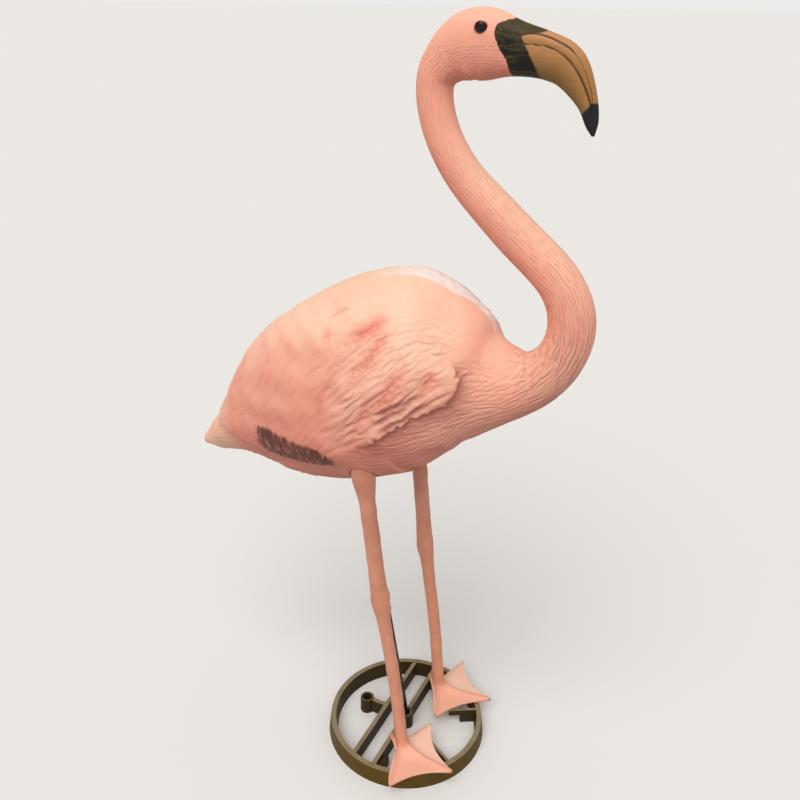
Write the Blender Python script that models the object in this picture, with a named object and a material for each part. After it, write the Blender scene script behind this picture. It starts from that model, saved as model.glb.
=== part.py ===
# A pond flamingo of moulded plastic: body with neck and head, two legs, a support rod and a base ring.
# Metres, +Z up, +X the way the bird faces, +Y its left. The origin is under the middle of the base ring.

import math

import bmesh
import bpy
import numpy as np
from mathutils import Matrix, Vector

# Driving dimensions of the figure
FIGURE_HEIGHT = 0.87            # ground to crown
BODY_SIDES = 40                 # points round a section of the body
BODY_PITCH = 0.0155             # between sections of the body
NECK_PITCH = 0.0130             # between sections of the neck
HEAD_PITCH = 0.0062             # between sections of the head and beak

# Driving dimensions of the base ring
RING_HEIGHT = 0.0216
RING_FOOT_RADIUS = 0.1022       # outer radius on the ground
RING_DRAFT = 0.0027             # slope of the outer wall, from the ground to the rim
RING_TOP_RADIUS = RING_FOOT_RADIUS - RING_DRAFT
RIM_WIDTH = 0.0065
RING_FOOT_WIDTH = 0.0115
RING_SIDES = 64
BAR_WIDTH = 0.0055
BAR_SPACING = 0.0296            # middle bar to rear bar
BAR_INSET = 0.0004              # of the bars from the rim's level and from the ground
SOCKET_RADIUS = 0.0089
SOCKET_BORE = 0.0061
SOCKET_FLOOR = 0.0030           # closed bottom under the rod
SPARE_SOCKET_BACK = 0.0590      # from the ring's middle to the empty socket
RIB_ANGLE = math.radians(30.5)  # rib under each foot, from straight ahead
RIB_WIDTH = 0.0036
RIB_LENGTH = 0.0360
RIB_STEP = 0.0150               # length of the rib's shallow inner end
RIB_STEP_DEPTH = 0.0090
GUSSET_WIDTH = 0.0070
GUSSET_LENGTH = 0.0260
GUSSET_DROP = 0.0060

# Driving dimensions of the rod and the legs
ROD_RADIUS = 0.0045
ROD_LEAN = math.radians(10.2)   # backwards from upright
ROD_REACH = 0.0450              # length held inside the body
ROD_CLEARANCE = 0.0010          # round the rod in the body
LEG_PITCH = 0.0200
LEG_SEARCH = (3.0, 7.0)         # stations between which the belly is measured over a leg
HIP_REACH = 1.0                 # half width of the patch of belly measured, in hundredths of FIGURE_HEIGHT
HEEL_RADIUS = 0.0100
ANKLE_HEIGHT = 0.0380
ANKLE_RADIUS = 0.0078
SHANK_RADIUS = 0.0077
ANKLE_TAPER = 2.0               # of the shank above the ankle, in hundredths of FIGURE_HEIGHT
KNOB_RADIUS = 0.0118            # heel joint, half way up
KNOB_LENGTH = 2.1               # half length of the joint's swelling, in hundredths of FIGURE_HEIGHT
THIGH_TAPER = 4.0               # from shank to thigh, in hundredths of FIGURE_HEIGHT
THIGH_RADIUS = 0.0092
COLLAR_RADIUS = 0.0136
COLLAR_LENGTH = 0.0180          # flared part below the belly
PLUG_LENGTH = 0.0300            # length held inside the body
PLUG_CLEARANCE = 0.0008
WEB_THICKNESS = 0.0026
TOE_HEIGHT = 0.0032             # toe ridges above the web
TOE_WIDTH = 0.0052
WEB_HOLLOW = 0.0095             # how far the web's edge is hollowed between two toes
WEB_STEPS = 5                   # points along the web's edge from toe to toe
FOOT_SHARES = (1.0, 0.84, 0.62, 0.42, 0.25, 0.12)  # rows over the foot, from its edge to the ankle
ANKLE_FLARE = 0.16              # share of the foot's reach over which it rises to the ankle
HEEL_TURNS = (math.radians(105), math.radians(138))
GAP = 0.0003                    # between touching pieces
EYE_RADIUS = 0.0058
EYE_FLATNESS = 0.62
RECESS_START = 6.0              # start of the cuts below the belly, in hundredths of FIGURE_HEIGHT
SHARP_ANGLE = math.radians(50)

# Sections of the moulding from tail to beak, in hundredths of FIGURE_HEIGHT:
# place, forward, up, half depth, half width, kind of section
STATIONS = (
    ("tail tip", -32.2, 42.5, 1.1, 2.2, "tail"),
    ("tail", -30.4, 43.4, 2.1, 3.3, "tail"),
    ("tail root", -24.5, 47.2, 4.8, 6.1, "tail"),
    ("rump", -18.2, 51.3, 9.6, 8.9, "body"),
    ("wing tips", -10.5, 55.2, 12.1, 11.3, "body"),
    ("back", -2.0, 59.3, 12.7, 11.7, "body"),
    ("wing shoulders", 2.6, 60.0, 11.7, 10.9, "body"),
    ("shoulder", 7.0, 60.1, 9.1, 8.3, "body"),
    ("neck root", 10.4, 60.0, 5.7, 5.5, "neck"),
    ("neck bottom", 14.9, 61.2, 3.5, 3.3, "neck"),
    ("neck bend", 17.8, 64.3, 2.8, 2.7, "neck"),
    ("neck front", 18.8, 68.6, 2.7, 2.5, "neck"),
    ("neck low", 17.0, 73.1, 2.5, 2.3, "neck"),
    ("neck middle", 10.7, 78.5, 2.4, 2.3, "neck"),
    ("neck high", 5.0, 83.7, 2.1, 2.0, "neck"),
    ("nape", 2.1, 88.6, 2.0, 1.9, "neck"),
    ("throat", 1.5, 92.8, 2.1, 1.9, "neck"),
    ("back of head", 3.3, 95.3, 2.8, 2.1, "head"),
    ("cheek", 5.3, 96.4, 3.4, 2.4, "head"),
    ("brow", 7.6, 96.5, 3.4, 2.4, "head"),
    ("beak root", 10.3, 96.2, 2.6, 1.8, "beak"),
    ("beak hump", 13.3, 95.7, 2.2, 1.5, "beak"),
    ("beak bend", 15.7, 94.7, 2.0, 1.2, "beak"),
    ("beak fall", 17.8, 91.8, 1.1, 0.7, "beak"),
    ("beak end", 18.6, 89.4, 0.6, 0.45, "beak"),
    ("beak tip", 18.8, 88.5, 0.12, 0.1, "beak"),
)
NECK_FROM = 9                   # station where the finer, narrower sections start
HEAD_FROM = 16
# Power of the superellipse above and below the middle of a section, 2 being an ellipse
SECTION_POWERS = {
    "tail": (2.0, 2.1),
    "body": (1.8, 2.4),
    "neck": (2.0, 2.0),
    "head": (2.2, 2.2),
    "beak": (2.0, 2.3),
}

# Carving seen from the side, forward and up in hundredths of FIGURE_HEIGHT, depths in metres
WING_EDGE = (
    (7.4, 64.2), (8.4, 62.3), (7.9, 60.1), (4.6, 57.9), (1.4, 55.3), (-3.0, 52.3),
    (-6.0, 49.6), (-11.1, 48.4), (-17.8, 48.4), (-21.0, 47.6), (-26.0, 48.6), (-28.0, 49.6),
)
WING_STEP = 0.0060
WING_STEP_WIDTH = 0.0090
WING_STEP_KEPT = 0.08           # share of the step's height far behind the edge
WING_STEP_FADE = 5.0            # reach behind the edge over which the rest fades
WING_TOP = (61.5, 66.5)         # up, between these the step gives way to the wing's top
WING_TOP_RISE = 8.0             # length over which the wing's top rises out of the shoulder
CARVING_FROM = 1.6              # station at which the carving starts
PLUME_GROOVES = (
    ((0.0, 67.8), (-2.4, 66.4), (-4.3, 64.4)),
    ((0.4, 66.4), (-1.8, 63.6), (-3.3, 60.2)),
    ((3.0, 63.8), (1.4, 60.4), (-2.8, 54.0)),
    ((6.0, 62.4), (5.0, 60.6), (3.4, 58.6)),
    ((-2.9, 63.2), (-6.2, 60.8), (-6.3, 55.6)),
    ((2.4, 59.2), (-0.1, 56.8), (-3.0, 54.6)),
)
PLUME_DEPTH = 0.0052
PLUME_WIDTH = 0.0085
PLUME_SIDE = 4.0                # out from the middle, over which the grooves deepen
BACK_CLEFT = 0.0040             # between the two wings, along the back
BACK_CLEFT_WIDTH = 0.0150
BACK_CLEFT_LOW = 62.0           # the cleft is cut above this
BACK_CLEFT_FRONT = 1.0          # and behind this
MOUTH_DEPTH = 0.0012
MOUTH_FROM = HEAD_FROM + 3.4    # stations between which the mouth line is cut
MOUTH_TO = HEAD_FROM + 8.2
MOUTH_ANGLE = math.radians(70)  # of the mouth line round a section of the beak
MOUTH_CHEEK_TURN = math.radians(19)
MOUTH_ANGLE_WIDTH = math.radians(9)

# Plan of the right foot from its ankle, forward and to the bird's right
ANKLE_FORWARD = 0.0205
ANKLE_SIDE = 0.0570
MID_TOE = (0.0735, 0.0085)
OUTER_TOE = (0.0130, 0.0590)
INNER_TOE = (0.0195, -0.0495)
HIND_TOE = (-0.0140, 0.0010)
MID_TOE_LIFT = 0.0035           # of the middle toe's tip above the ring
HIND_TOE_LIFT = 0.0150
TOE_BACK = (1.35, 0.60)         # reach behind a side toe, in toe widths: at the ankle, and less at the tip
# Leg's middle line above the ankle: forward, to the side and up, in hundredths of FIGURE_HEIGHT
LEG_LINE = (
    ("shank", 1.2, 6.75, 15.0),
    ("heel joint", -0.9, 7.1, 28.5),
    ("thigh", -2.1, 7.4, 39.0),
    ("hip", -3.0, 7.65, 46.6),
)
EYE_PLACE = (7.1, 2.22, 98.15)


def clear_scene():
    for old in list(bpy.data.objects):
        bpy.data.objects.remove(old, do_unlink=True)


def share(value):
    return value * FIGURE_HEIGHT / 100


def plastic(name, colour, roughness):
    material = bpy.data.materials.new(name)
    material.use_nodes = True
    shader = material.node_tree.nodes["Principled BSDF"]
    shader.inputs["Base Color"].default_value = (*colour, 1)
    shader.inputs["Roughness"].default_value = roughness
    shader.inputs["Metallic"].default_value = 0
    return material


def make_object(name, points, faces, material=None):
    mesh = bpy.data.meshes.new(name)
    mesh.from_pydata([tuple(point) for point in points], [], faces)
    shape = bmesh.new()
    shape.from_mesh(mesh)
    bmesh.ops.recalc_face_normals(shape, faces=shape.faces)
    shape.to_mesh(mesh)
    shape.free()
    mesh.shade_smooth()
    mesh.set_sharp_from_angle(angle=SHARP_ANGLE)
    if material:
        mesh.materials.append(material)
    made = bpy.data.objects.new(name, mesh)
    bpy.context.collection.objects.link(made)
    return made


def catmull_rom(rows, index, along):
    """The value a share 'along' of the way from rows[index] to the next row, on a smooth curve."""
    here = rows[index]
    after = rows[index + 1]
    before = rows[index - 1] if index else 2 * here - after
    beyond = rows[index + 2] if index + 2 < len(rows) else 2 * after - here
    slope = (after - before) * along
    bend = (2 * before - 5 * here + 4 * after - beyond) * along**2
    twist = (3 * here - before - 3 * after + beyond) * along**3
    return here + (slope + bend + twist) / 2


def distance_to_line(point, line):
    """Distance from a point to a line of points, and its side: right of the line's run is positive."""
    best = (1e9, 0.0)
    for start, end in zip(line[:-1], line[1:]):
        run = end - start
        along = np.clip(np.dot(point - start, run) / np.dot(run, run), 0, 1)
        offset = point - start - along * run
        length = float(np.hypot(*offset))
        side = run[1] * offset[0] - run[0] * offset[1]
        if length < best[0] - 1e-9:
            best = (length, side)
    return best


def smooth_step(value):
    value = min(max(value, 0.0), 1.0)
    return value * value * (3 - 2 * value)


def carving(point):
    """Height of the carving, along the surface normal, at a point of the plain body."""
    flat = np.array((point[0], point[2]))
    side = abs(point[1])
    edge = np.array(WING_EDGE) * FIGURE_HEIGHT / 100
    distance, turn = distance_to_line(flat, edge)
    inside = distance if turn > 0 else -distance
    on_wing = smooth_step(0.5 + inside / WING_STEP_WIDTH)
    behind_start = smooth_step((edge[0][0] - flat[0]) / share(WING_TOP_RISE) + 0.5)
    low, high = (share(up) for up in WING_TOP)
    below_top = smooth_step((high - flat[1]) / (high - low))
    height = WING_STEP * on_wing * (behind_start * (1 - below_top) + below_top)
    if inside > 0:
        fade = math.exp(-inside / share(WING_STEP_FADE))
        height *= WING_STEP_KEPT + (1 - WING_STEP_KEPT) * fade
    side_on = smooth_step(side / share(PLUME_SIDE))
    for groove in PLUME_GROOVES:
        reach, _ = distance_to_line(flat, bend_through(groove))
        height -= PLUME_DEPTH * side_on * math.exp(-(reach / PLUME_WIDTH) ** 2)
    up_share = smooth_step((flat[1] - share(BACK_CLEFT_LOW)) / share(4.0))
    back_share = smooth_step((share(BACK_CLEFT_FRONT) - flat[0]) / share(5.0))
    height -= BACK_CLEFT * up_share * back_share * math.exp(-(side / BACK_CLEFT_WIDTH) ** 2)
    return height


def bend_through(corners, steps=5):
    """Points along the curve that starts and ends at the outer corners and leans to the middle one."""
    first, middle, last = (np.array(corner) * FIGURE_HEIGHT / 100 for corner in corners)
    shares = [step / steps for step in range(steps + 1)]
    return [(1 - t) ** 2 * first + 2 * t * (1 - t) * middle + t * t * last for t in shares]


def mouth_groove(place, angle):
    """Depth of the mouth line, which falls from the cheek to the side of the beak."""
    if place < MOUTH_FROM:
        return 0.0
    line = MOUTH_ANGLE + MOUTH_CHEEK_TURN * smooth_step((HEAD_FROM + 5.0 - place) / 1.4)
    fade = smooth_step((place - MOUTH_FROM) / 0.4) * smooth_step(MOUTH_TO - place)
    around = min(angle, 2 * math.pi - angle)
    return MOUTH_DEPTH * fade * math.exp(-(((around - line) / MOUTH_ANGLE_WIDTH) ** 2))


def section_places():
    """Places along the stations, as station number plus share, at the chosen pitches."""
    places = []
    for index in range(len(STATIONS) - 1):
        pitch = BODY_PITCH if index < NECK_FROM else NECK_PITCH if index < HEAD_FROM else HEAD_PITCH
        start = section(index, 2, carved=False)
        end = section(index + 1, 2, carved=False)
        back_length, front_length = (np.linalg.norm(end[row] - start[row]) for row in (0, 1))
        count = max(1, round((back_length + front_length) / 2 / pitch))
        places += [index + step / count for step in range(count)]
    return places + [len(STATIONS) - 1.0]


def section(place, sides, carved=True):
    """Points round the moulding at a place along its stations, starting at its back."""
    rows = np.array([(*station[1:5], *SECTION_POWERS[station[5]]) for station in STATIONS])
    rows[:, :4] *= FIGURE_HEIGHT / 100
    index = min(int(place), len(STATIONS) - 2)
    along = place - index
    forward, up, depth, width, above, below = catmull_rom(rows, index, along)
    ahead = catmull_rom(rows, index, along + 0.01)[:2] - catmull_rom(rows, index, along - 0.01)[:2]
    ahead /= math.hypot(*ahead)
    points = []
    for step in range(sides):
        angle = 2 * math.pi * step / sides
        cosine = math.cos(angle)
        sine = math.sin(angle)
        power = 2 / (above if cosine > 0 else below)
        rise = math.copysign(abs(cosine) ** power, cosine) * depth
        out = math.copysign(abs(sine) ** power, sine) * width
        point = np.array((forward - ahead[1] * rise, -out, up + ahead[0] * rise))
        if carved and CARVING_FROM < place < NECK_FROM:
            normal = np.array((-ahead[1] * cosine / depth, -sine / width, ahead[0] * cosine / depth))
            point += normal / np.linalg.norm(normal) * carving(point)
        groove = mouth_groove(place, angle)
        if groove:
            toward = np.array((forward, 0, up)) - point
            point += toward / np.linalg.norm(toward) * groove
        points.append(point)
    return points


def bridge(faces, lower, upper):
    """Joins two closed rows of points, where the first may have two points to each of the second."""
    count = len(upper)
    step = len(lower) // count
    for side in range(count):
        after = (side + 1) % count
        if step == 1:
            faces.append((lower[side], lower[after], upper[after], upper[side]))
        else:
            start = lower[side * 2]
            middle = lower[side * 2 + 1]
            end = lower[(side * 2 + 2) % len(lower)]
            faces.append((start, middle, upper[side]))
            faces.append((middle, upper[after], upper[side]))
            faces.append((middle, end, upper[after]))


def loft(sections):
    """A closed skin over rows of points, with a point at the middle of each end."""
    points = []
    faces = []
    rows = []
    for row in sections:
        rows.append(range(len(points), len(points) + len(row)))
        points += row
    for lower, upper in zip(rows[:-1], rows[1:]):
        bridge(faces, lower, upper)
    for row in (rows[0], rows[-1]):
        middle = len(points)
        points.append(sum(points[index] for index in row) / len(row))
        faces += [(row[side], row[(side + 1) % len(row)], middle) for side in range(len(row))]
    return points, faces


def cylinder(name, radius, start, end, sides=24, material=None):
    """A round bar between two points."""
    start = Vector(start)
    end = Vector(end)
    turn = (end - start).to_track_quat("Z", "Y").to_matrix()
    rows = []
    for middle in (start, end):
        angles = [2 * math.pi * side / sides for side in range(sides)]
        rims = [turn @ Vector((radius * math.cos(angle), radius * math.sin(angle), 0)) for angle in angles]
        rows.append([np.array(middle + rim) for rim in rims])
    return make_object(name, *loft(rows), material)


def hide_tool(tool):
    tool.hide_render = True
    tool.display_type = "WIRE"


def combine(target, tool, operation):
    hide_tool(tool)
    change = target.modifiers.new(tool.name, "BOOLEAN")
    change.operation = operation
    change.object = tool
    change.solver = "EXACT"


def rod_point(height):
    """Point on the rod's middle line at a height above the ground."""
    return Vector((-math.tan(ROD_LEAN) * (height - RING_HEIGHT / 2), 0, height))


def belly_height(forward, side):
    """Height of the belly's surface over a point of the ground."""
    lowest = 1e9
    for place in np.arange(*LEG_SEARCH, 0.05):
        for point in section(place, BODY_SIDES * 2, carved=False):
            if max(abs(point[0] - forward), abs(point[1] - side)) < share(HIP_REACH):
                lowest = min(lowest, point[2])
    return lowest


def hip_axis(side):
    """The hip, the belly's height there and the leg's direction per metre of height, at the body."""
    thigh, hip = (np.array((share(row[1]), side * share(row[2]), share(row[3]))) for row in LEG_LINE[-2:])
    lean = (hip - thigh) / (hip - thigh)[2]
    return hip, belly_height(hip[0], hip[1]), lean


def leg_line(side):
    """Middle line of a leg from its ankle to the end of its plug; side is -1 for the right leg."""
    line = [np.array((ANKLE_FORWARD, side * ANKLE_SIDE, ANKLE_HEIGHT))]
    for _, forward, out, up in LEG_LINE:
        line.append(np.array((share(forward), side * share(out), share(up))))
    hip, belly, lean = hip_axis(side)
    line.append(hip + lean * (belly + PLUG_LENGTH - hip[2]))
    return line


def along_line(line, pitch):
    """Points along a smooth line at about the pitch."""
    points = []
    for index in range(len(line) - 1):
        count = max(1, round(float(np.linalg.norm(line[index + 1] - line[index])) / pitch))
        points += [catmull_rom(line, index, step / count) for step in range(count)]
    return points + [line[-1]]


def leg_radius(height, belly, joint):
    """Radius of a leg at a height: shank, knobbly joint, thigh and flared collar."""
    on_thigh = smooth_step((height - joint) / share(THIGH_TAPER) + 0.5)
    radius = SHANK_RADIUS + (THIGH_RADIUS - SHANK_RADIUS) * on_thigh
    radius += (KNOB_RADIUS - THIGH_RADIUS) * math.exp(-(((height - joint) / share(KNOB_LENGTH)) ** 2))
    flare = smooth_step((height - belly + COLLAR_LENGTH) / COLLAR_LENGTH)
    radius += (COLLAR_RADIUS - THIGH_RADIUS) * flare
    near_ankle = smooth_step((ANKLE_HEIGHT - height) / share(ANKLE_TAPER) + 1)
    return radius + (ANKLE_RADIUS - SHANK_RADIUS) * near_ankle


def foot_outline():
    """Points round the foot in plan, from the outer toe's tip over the middle toe and back by the heel."""
    mid = np.array(MID_TOE)
    outer = np.array(OUTER_TOE)
    inner = np.array(INNER_TOE)
    points = []
    for start, end in ((outer, mid), (mid, inner)):
        inward = -(start + end) / np.linalg.norm(start + end)
        for step in range(WEB_STEPS):
            along = step / WEB_STEPS
            points.append(start + (end - start) * along + inward * WEB_HOLLOW * math.sin(math.pi * along))
    points.append(inner)
    points += behind_toe(inner)
    points += heel(-1)
    points += heel(1)[::-1]
    points += behind_toe(outer)[::-1]
    return points


def behind_toe(tip):
    """Points along the back of a side toe, from its tip to the ankle."""
    run = tip / np.linalg.norm(tip)
    back = np.array((-abs(run[1]), run[0] * math.copysign(1, run[1]))) * TOE_WIDTH
    return [tip * along + back * (TOE_BACK[0] - TOE_BACK[1] * along) for along in (0.84, 0.56, 0.28)]


def heel(side):
    """Points round half of the heel and of the hind toe."""
    hind = np.array(HIND_TOE)
    across = np.array((0, side * TOE_WIDTH * 0.8))
    arc = [np.array((math.cos(turn), side * math.sin(turn))) * HEEL_RADIUS for turn in HEEL_TURNS]
    return arc + [hind * 0.6 + across, hind + across * 0.6]


def toe_ridge(place):
    """Height of the toe ridges over the web at a place in plan from the ankle."""
    height = 0.0
    for tip in (MID_TOE, OUTER_TOE, INNER_TOE, HIND_TOE):
        tip = np.array(tip)
        along = np.clip(np.dot(place, tip) / np.dot(tip, tip), 0, 1)
        reach = float(np.linalg.norm(place - along * tip))
        height = max(height, (1 - 0.35 * along) * math.exp(-(reach / TOE_WIDTH) ** 2))
    return TOE_HEIGHT * height


def toe_lift(place):
    """Rise of the sole towards the tips of the middle and the hind toe."""
    lift = 0.0
    for tip, height in ((MID_TOE, MID_TOE_LIFT), (HIND_TOE, HIND_TOE_LIFT)):
        along = np.dot(place, tip) / np.dot(tip, tip)
        lift += height * smooth_step(along * 1.4 - 0.4)
    return lift


def foot_rows(side, outline):
    """Rows of points over the foot, from the middle of the sole round its edge and up to the ankle."""
    sole = RING_HEIGHT + GAP
    angles = [math.atan2(tip[1], tip[0]) for tip in outline]
    starts = [np.array((math.cos(angle), math.sin(angle))) * ANKLE_RADIUS for angle in angles]

    def placed(place, up):
        return np.array((ANKLE_FORWARD + place[0], side * (ANKLE_SIDE + place[1]), up))

    rows = [[placed(start, sole) for start in starts], [placed(tip, sole + toe_lift(tip)) for tip in outline]]
    for spread in FOOT_SHARES:
        row = []
        for start, tip in zip(starts, outline):
            place = start + (tip - start) * spread
            rise = WEB_THICKNESS + toe_ridge(place) + toe_lift(place)
            rise += (ANKLE_HEIGHT - sole - rise) * math.exp(-((spread / ANKLE_FLARE) ** 1.3))
            row.append(placed(place, sole + rise))
        rows.append(row)
    return rows


def make_leg(name, side, material):
    outline = foot_outline()
    rows = foot_rows(side, outline)
    _, belly, _ = hip_axis(side)
    joint = share(LEG_LINE[1][3])
    first = math.atan2(outline[0][1], outline[0][0])
    for middle in along_line(leg_line(side), LEG_PITCH):
        radius = leg_radius(middle[2], belly, joint)
        evened = smooth_step((middle[2] - ANKLE_HEIGHT) / share(5.0))
        row = []
        for step, tip in enumerate(outline):
            even = first - 2 * math.pi * step / len(outline)
            own = math.atan2(tip[1], tip[0])
            own -= 2 * math.pi * round((own - even) / (2 * math.pi))
            angle = own + (even - own) * evened
            row.append(middle + np.array((math.cos(angle), side * math.sin(angle), 0.0)) * radius)
        rows.append(row)
    return make_object(name, *loft(rows), material)


def make_body(material):
    sections = []
    for place in section_places():
        sides = BODY_SIDES if place < NECK_FROM else BODY_SIDES // 2
        sections.append(section(place, sides))
    body = make_object("body", *loft(sections), material)
    for side, word in ((-1, "right"), (1, "left")):
        hip, belly, lean = hip_axis(side)
        start = hip + lean * (belly - share(RECESS_START) - hip[2])
        tilt = (COLLAR_RADIUS + PLUG_CLEARANCE) * math.hypot(lean[0], lean[1])
        end = hip + lean * (belly + PLUG_LENGTH + PLUG_CLEARANCE + tilt - hip[2])
        recess = cylinder(word + "_leg_recess", COLLAR_RADIUS + PLUG_CLEARANCE, start, end, 28)
        combine(body, recess, "DIFFERENCE")
        eye_middle = Vector((share(EYE_PLACE[0]), side * share(EYE_PLACE[1]), share(EYE_PLACE[2])))
        eye = bmesh.new()
        place = Matrix.Translation(eye_middle) @ Matrix.Diagonal((1, EYE_FLATNESS, 1, 1))
        bmesh.ops.create_uvsphere(eye, u_segments=14, v_segments=9, radius=EYE_RADIUS, matrix=place)
        eye_mesh = bpy.data.meshes.new(word + "_eye_dome")
        eye.to_mesh(eye_mesh)
        eye.free()
        dome = bpy.data.objects.new(word + "_eye_dome", eye_mesh)
        bpy.context.collection.objects.link(dome)
        combine(body, dome, "UNION")
    start = rod_point(rod_end() - ROD_REACH - share(RECESS_START))
    end = rod_point(rod_end() + ROD_CLEARANCE)
    rod_hole = cylinder("rod_hole", ROD_RADIUS + ROD_CLEARANCE, start, end, 20)
    combine(body, rod_hole, "DIFFERENCE")
    return body


def rod_end():
    """Height of the rod's upper end, inside the body."""
    return belly_height(rod_point(share(LEG_LINE[-1][3]))[0], 0) + ROD_REACH


def make_rod(material):
    foot = rod_point(SOCKET_FLOOR + 2 * GAP + ROD_RADIUS * math.sin(ROD_LEAN))
    return cylinder("support_rod", ROD_RADIUS, foot, rod_point(rod_end()), 16, material)


def box(name, low, high, turn=0.0):
    """A plain block between two corners, turned about the ring's middle."""
    corners = [(x, y, z) for z in (low[2], high[2]) for x, y in ((low[0], low[1]), (high[0], low[1]),
                                                                 (high[0], high[1]), (low[0], high[1]))]
    points = [Matrix.Rotation(turn, 3, "Z") @ Vector(corner) for corner in corners]
    faces = [(0, 3, 2, 1), (4, 5, 6, 7), (0, 1, 5, 4), (1, 2, 6, 5), (2, 3, 7, 6), (3, 0, 4, 7)]
    return make_object(name, points, faces)


def make_ring(material):
    profile = (
        (RING_FOOT_RADIUS, 0.0),
        (RING_TOP_RADIUS, RING_HEIGHT),
        (RING_TOP_RADIUS - RIM_WIDTH, RING_HEIGHT),
        (RING_FOOT_RADIUS - RING_FOOT_WIDTH, 0.0),
    )
    points = []
    faces = []
    for step in range(RING_SIDES):
        angle = 2 * math.pi * step / RING_SIDES
        points += [Vector((math.cos(angle) * radius, math.sin(angle) * radius, up)) for radius, up in profile]
    corners = len(profile)
    for step in range(RING_SIDES):
        here = step * corners
        there = (step + 1) % RING_SIDES * corners
        for corner in range(corners):
            after = (corner + 1) % corners
            faces.append((here + corner, there + corner, there + after, here + after))
    ring = make_object("base_ring", points, faces, material)
    reach = RING_TOP_RADIUS - RIM_WIDTH / 2
    for name, middle in (("middle_bar", 0.0), ("rear_bar", -BAR_SPACING)):
        half = math.sqrt(reach**2 - (abs(middle) + BAR_WIDTH / 2) ** 2)
        low = (middle - BAR_WIDTH / 2, -half, BAR_INSET)
        high = (middle + BAR_WIDTH / 2, half, RING_HEIGHT - BAR_INSET)
        combine(ring, box(name, low, high), "UNION")
    low = (-SPARE_SOCKET_BACK, -BAR_WIDTH / 2, 2 * BAR_INSET)
    high = (-BAR_SPACING, BAR_WIDTH / 2, RING_HEIGHT - 2 * BAR_INSET)
    combine(ring, box("arm", low, high), "UNION")
    for side in (-1, 1):
        outer = RING_TOP_RADIUS - RIM_WIDTH / 2
        inner = RING_TOP_RADIUS - RIM_WIDTH - RIB_LENGTH
        turn = side * RIB_ANGLE
        half = RIB_WIDTH / 2
        top = RING_HEIGHT - BAR_INSET
        deep = box("rib", (inner + RIB_STEP, -half, BAR_INSET), (outer, half, top), turn)
        combine(ring, deep, "UNION")
        end_half = half - BAR_INSET / 2
        low = (inner, -end_half, RING_HEIGHT - RIB_STEP_DEPTH)
        shallow = box("rib_end", low, (outer - RIM_WIDTH, end_half, top - BAR_INSET), turn)
        combine(ring, shallow, "UNION")
        near = min(side * (reach - GUSSET_LENGTH), side * reach)
        far = max(side * (reach - GUSSET_LENGTH), side * reach)
        high = (BAR_WIDTH / 2 + GUSSET_WIDTH, far, RING_HEIGHT - GUSSET_DROP)
        combine(ring, box("gusset", (0, near, 2 * BAR_INSET), high), "UNION")
    for name, middle in (("rod_socket", 0.0), ("spare_socket", -SPARE_SOCKET_BACK)):
        tube = cylinder(name, SOCKET_RADIUS, (middle, 0, 0), (middle, 0, RING_HEIGHT))
        combine(ring, tube, "UNION")
    rod_bore = cylinder("rod_bore", SOCKET_BORE, rod_point(SOCKET_FLOOR), rod_point(RING_HEIGHT * 2))
    combine(ring, rod_bore, "DIFFERENCE")
    spare = (-SPARE_SOCKET_BACK, 0)
    spare_bore = cylinder("spare_bore", SOCKET_BORE, (*spare, -RING_HEIGHT), (*spare, RING_HEIGHT * 2))
    combine(ring, spare_bore, "DIFFERENCE")
    return ring


def main():
    clear_scene()
    pink = plastic("pink_plastic", (0.87, 0.38, 0.27), 0.6)
    leg_pink = plastic("leg_pink_plastic", (0.72, 0.30, 0.20), 0.55)
    dark_rod = plastic("rod_black", (0.03, 0.024, 0.018), 0.45)
    olive = plastic("olive_brown_plastic", (0.085, 0.055, 0.02), 0.45)
    make_body(pink)
    make_leg("right_leg", -1, leg_pink)
    make_leg("left_leg", 1, leg_pink)
    make_rod(dark_rod)
    make_ring(olive)


main()
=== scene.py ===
import math

import bmesh
import bpy
import numpy as np
from mathutils import Matrix, Vector, kdtree


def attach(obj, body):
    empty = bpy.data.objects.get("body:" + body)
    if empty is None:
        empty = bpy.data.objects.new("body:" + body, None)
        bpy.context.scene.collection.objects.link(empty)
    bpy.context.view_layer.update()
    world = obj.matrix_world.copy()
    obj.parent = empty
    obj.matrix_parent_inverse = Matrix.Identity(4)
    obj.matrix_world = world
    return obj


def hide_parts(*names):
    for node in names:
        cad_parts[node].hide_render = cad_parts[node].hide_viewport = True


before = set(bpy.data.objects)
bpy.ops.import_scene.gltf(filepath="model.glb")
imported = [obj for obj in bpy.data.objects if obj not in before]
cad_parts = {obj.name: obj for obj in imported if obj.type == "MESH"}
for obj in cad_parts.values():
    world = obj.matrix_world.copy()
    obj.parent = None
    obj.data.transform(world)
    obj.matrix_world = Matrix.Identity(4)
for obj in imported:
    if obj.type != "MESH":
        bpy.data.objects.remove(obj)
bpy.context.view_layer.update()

scene = bpy.context.scene
scene.view_settings.view_transform = "Standard"
mm = 0.001
seed = 19


# small helpers on arrays of points

def asMetres(line):
    return np.array(line, float) * mm


def smoothStep(value, low=0.0, high=1.0):
    share = np.clip((value - low) / (high - low), 0, 1)
    return share * share * (3 - 2 * share)


def bump(distance, width):
    return np.exp(-(distance / width) ** 2)


def bendLine(line, steps=6):
    # a smooth run of points through the corners of a line
    line = np.array(line, float)
    ends = np.vstack([2 * line[0] - line[1], line, 2 * line[-1] - line[-2]])
    run = []
    for index in range(1, len(ends) - 2):
        before, here, after, beyond = ends[index - 1:index + 3]
        for step in range(steps):
            t = step / steps
            spot = 2 * here + (after - before) * t
            spot = spot + (2 * before - 5 * here + 4 * after - beyond) * t ** 2
            spot = spot + (3 * here - before - 3 * after + beyond) * t ** 3
            run.append(spot / 2)
    return np.array(run + [line[-1]])


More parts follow.
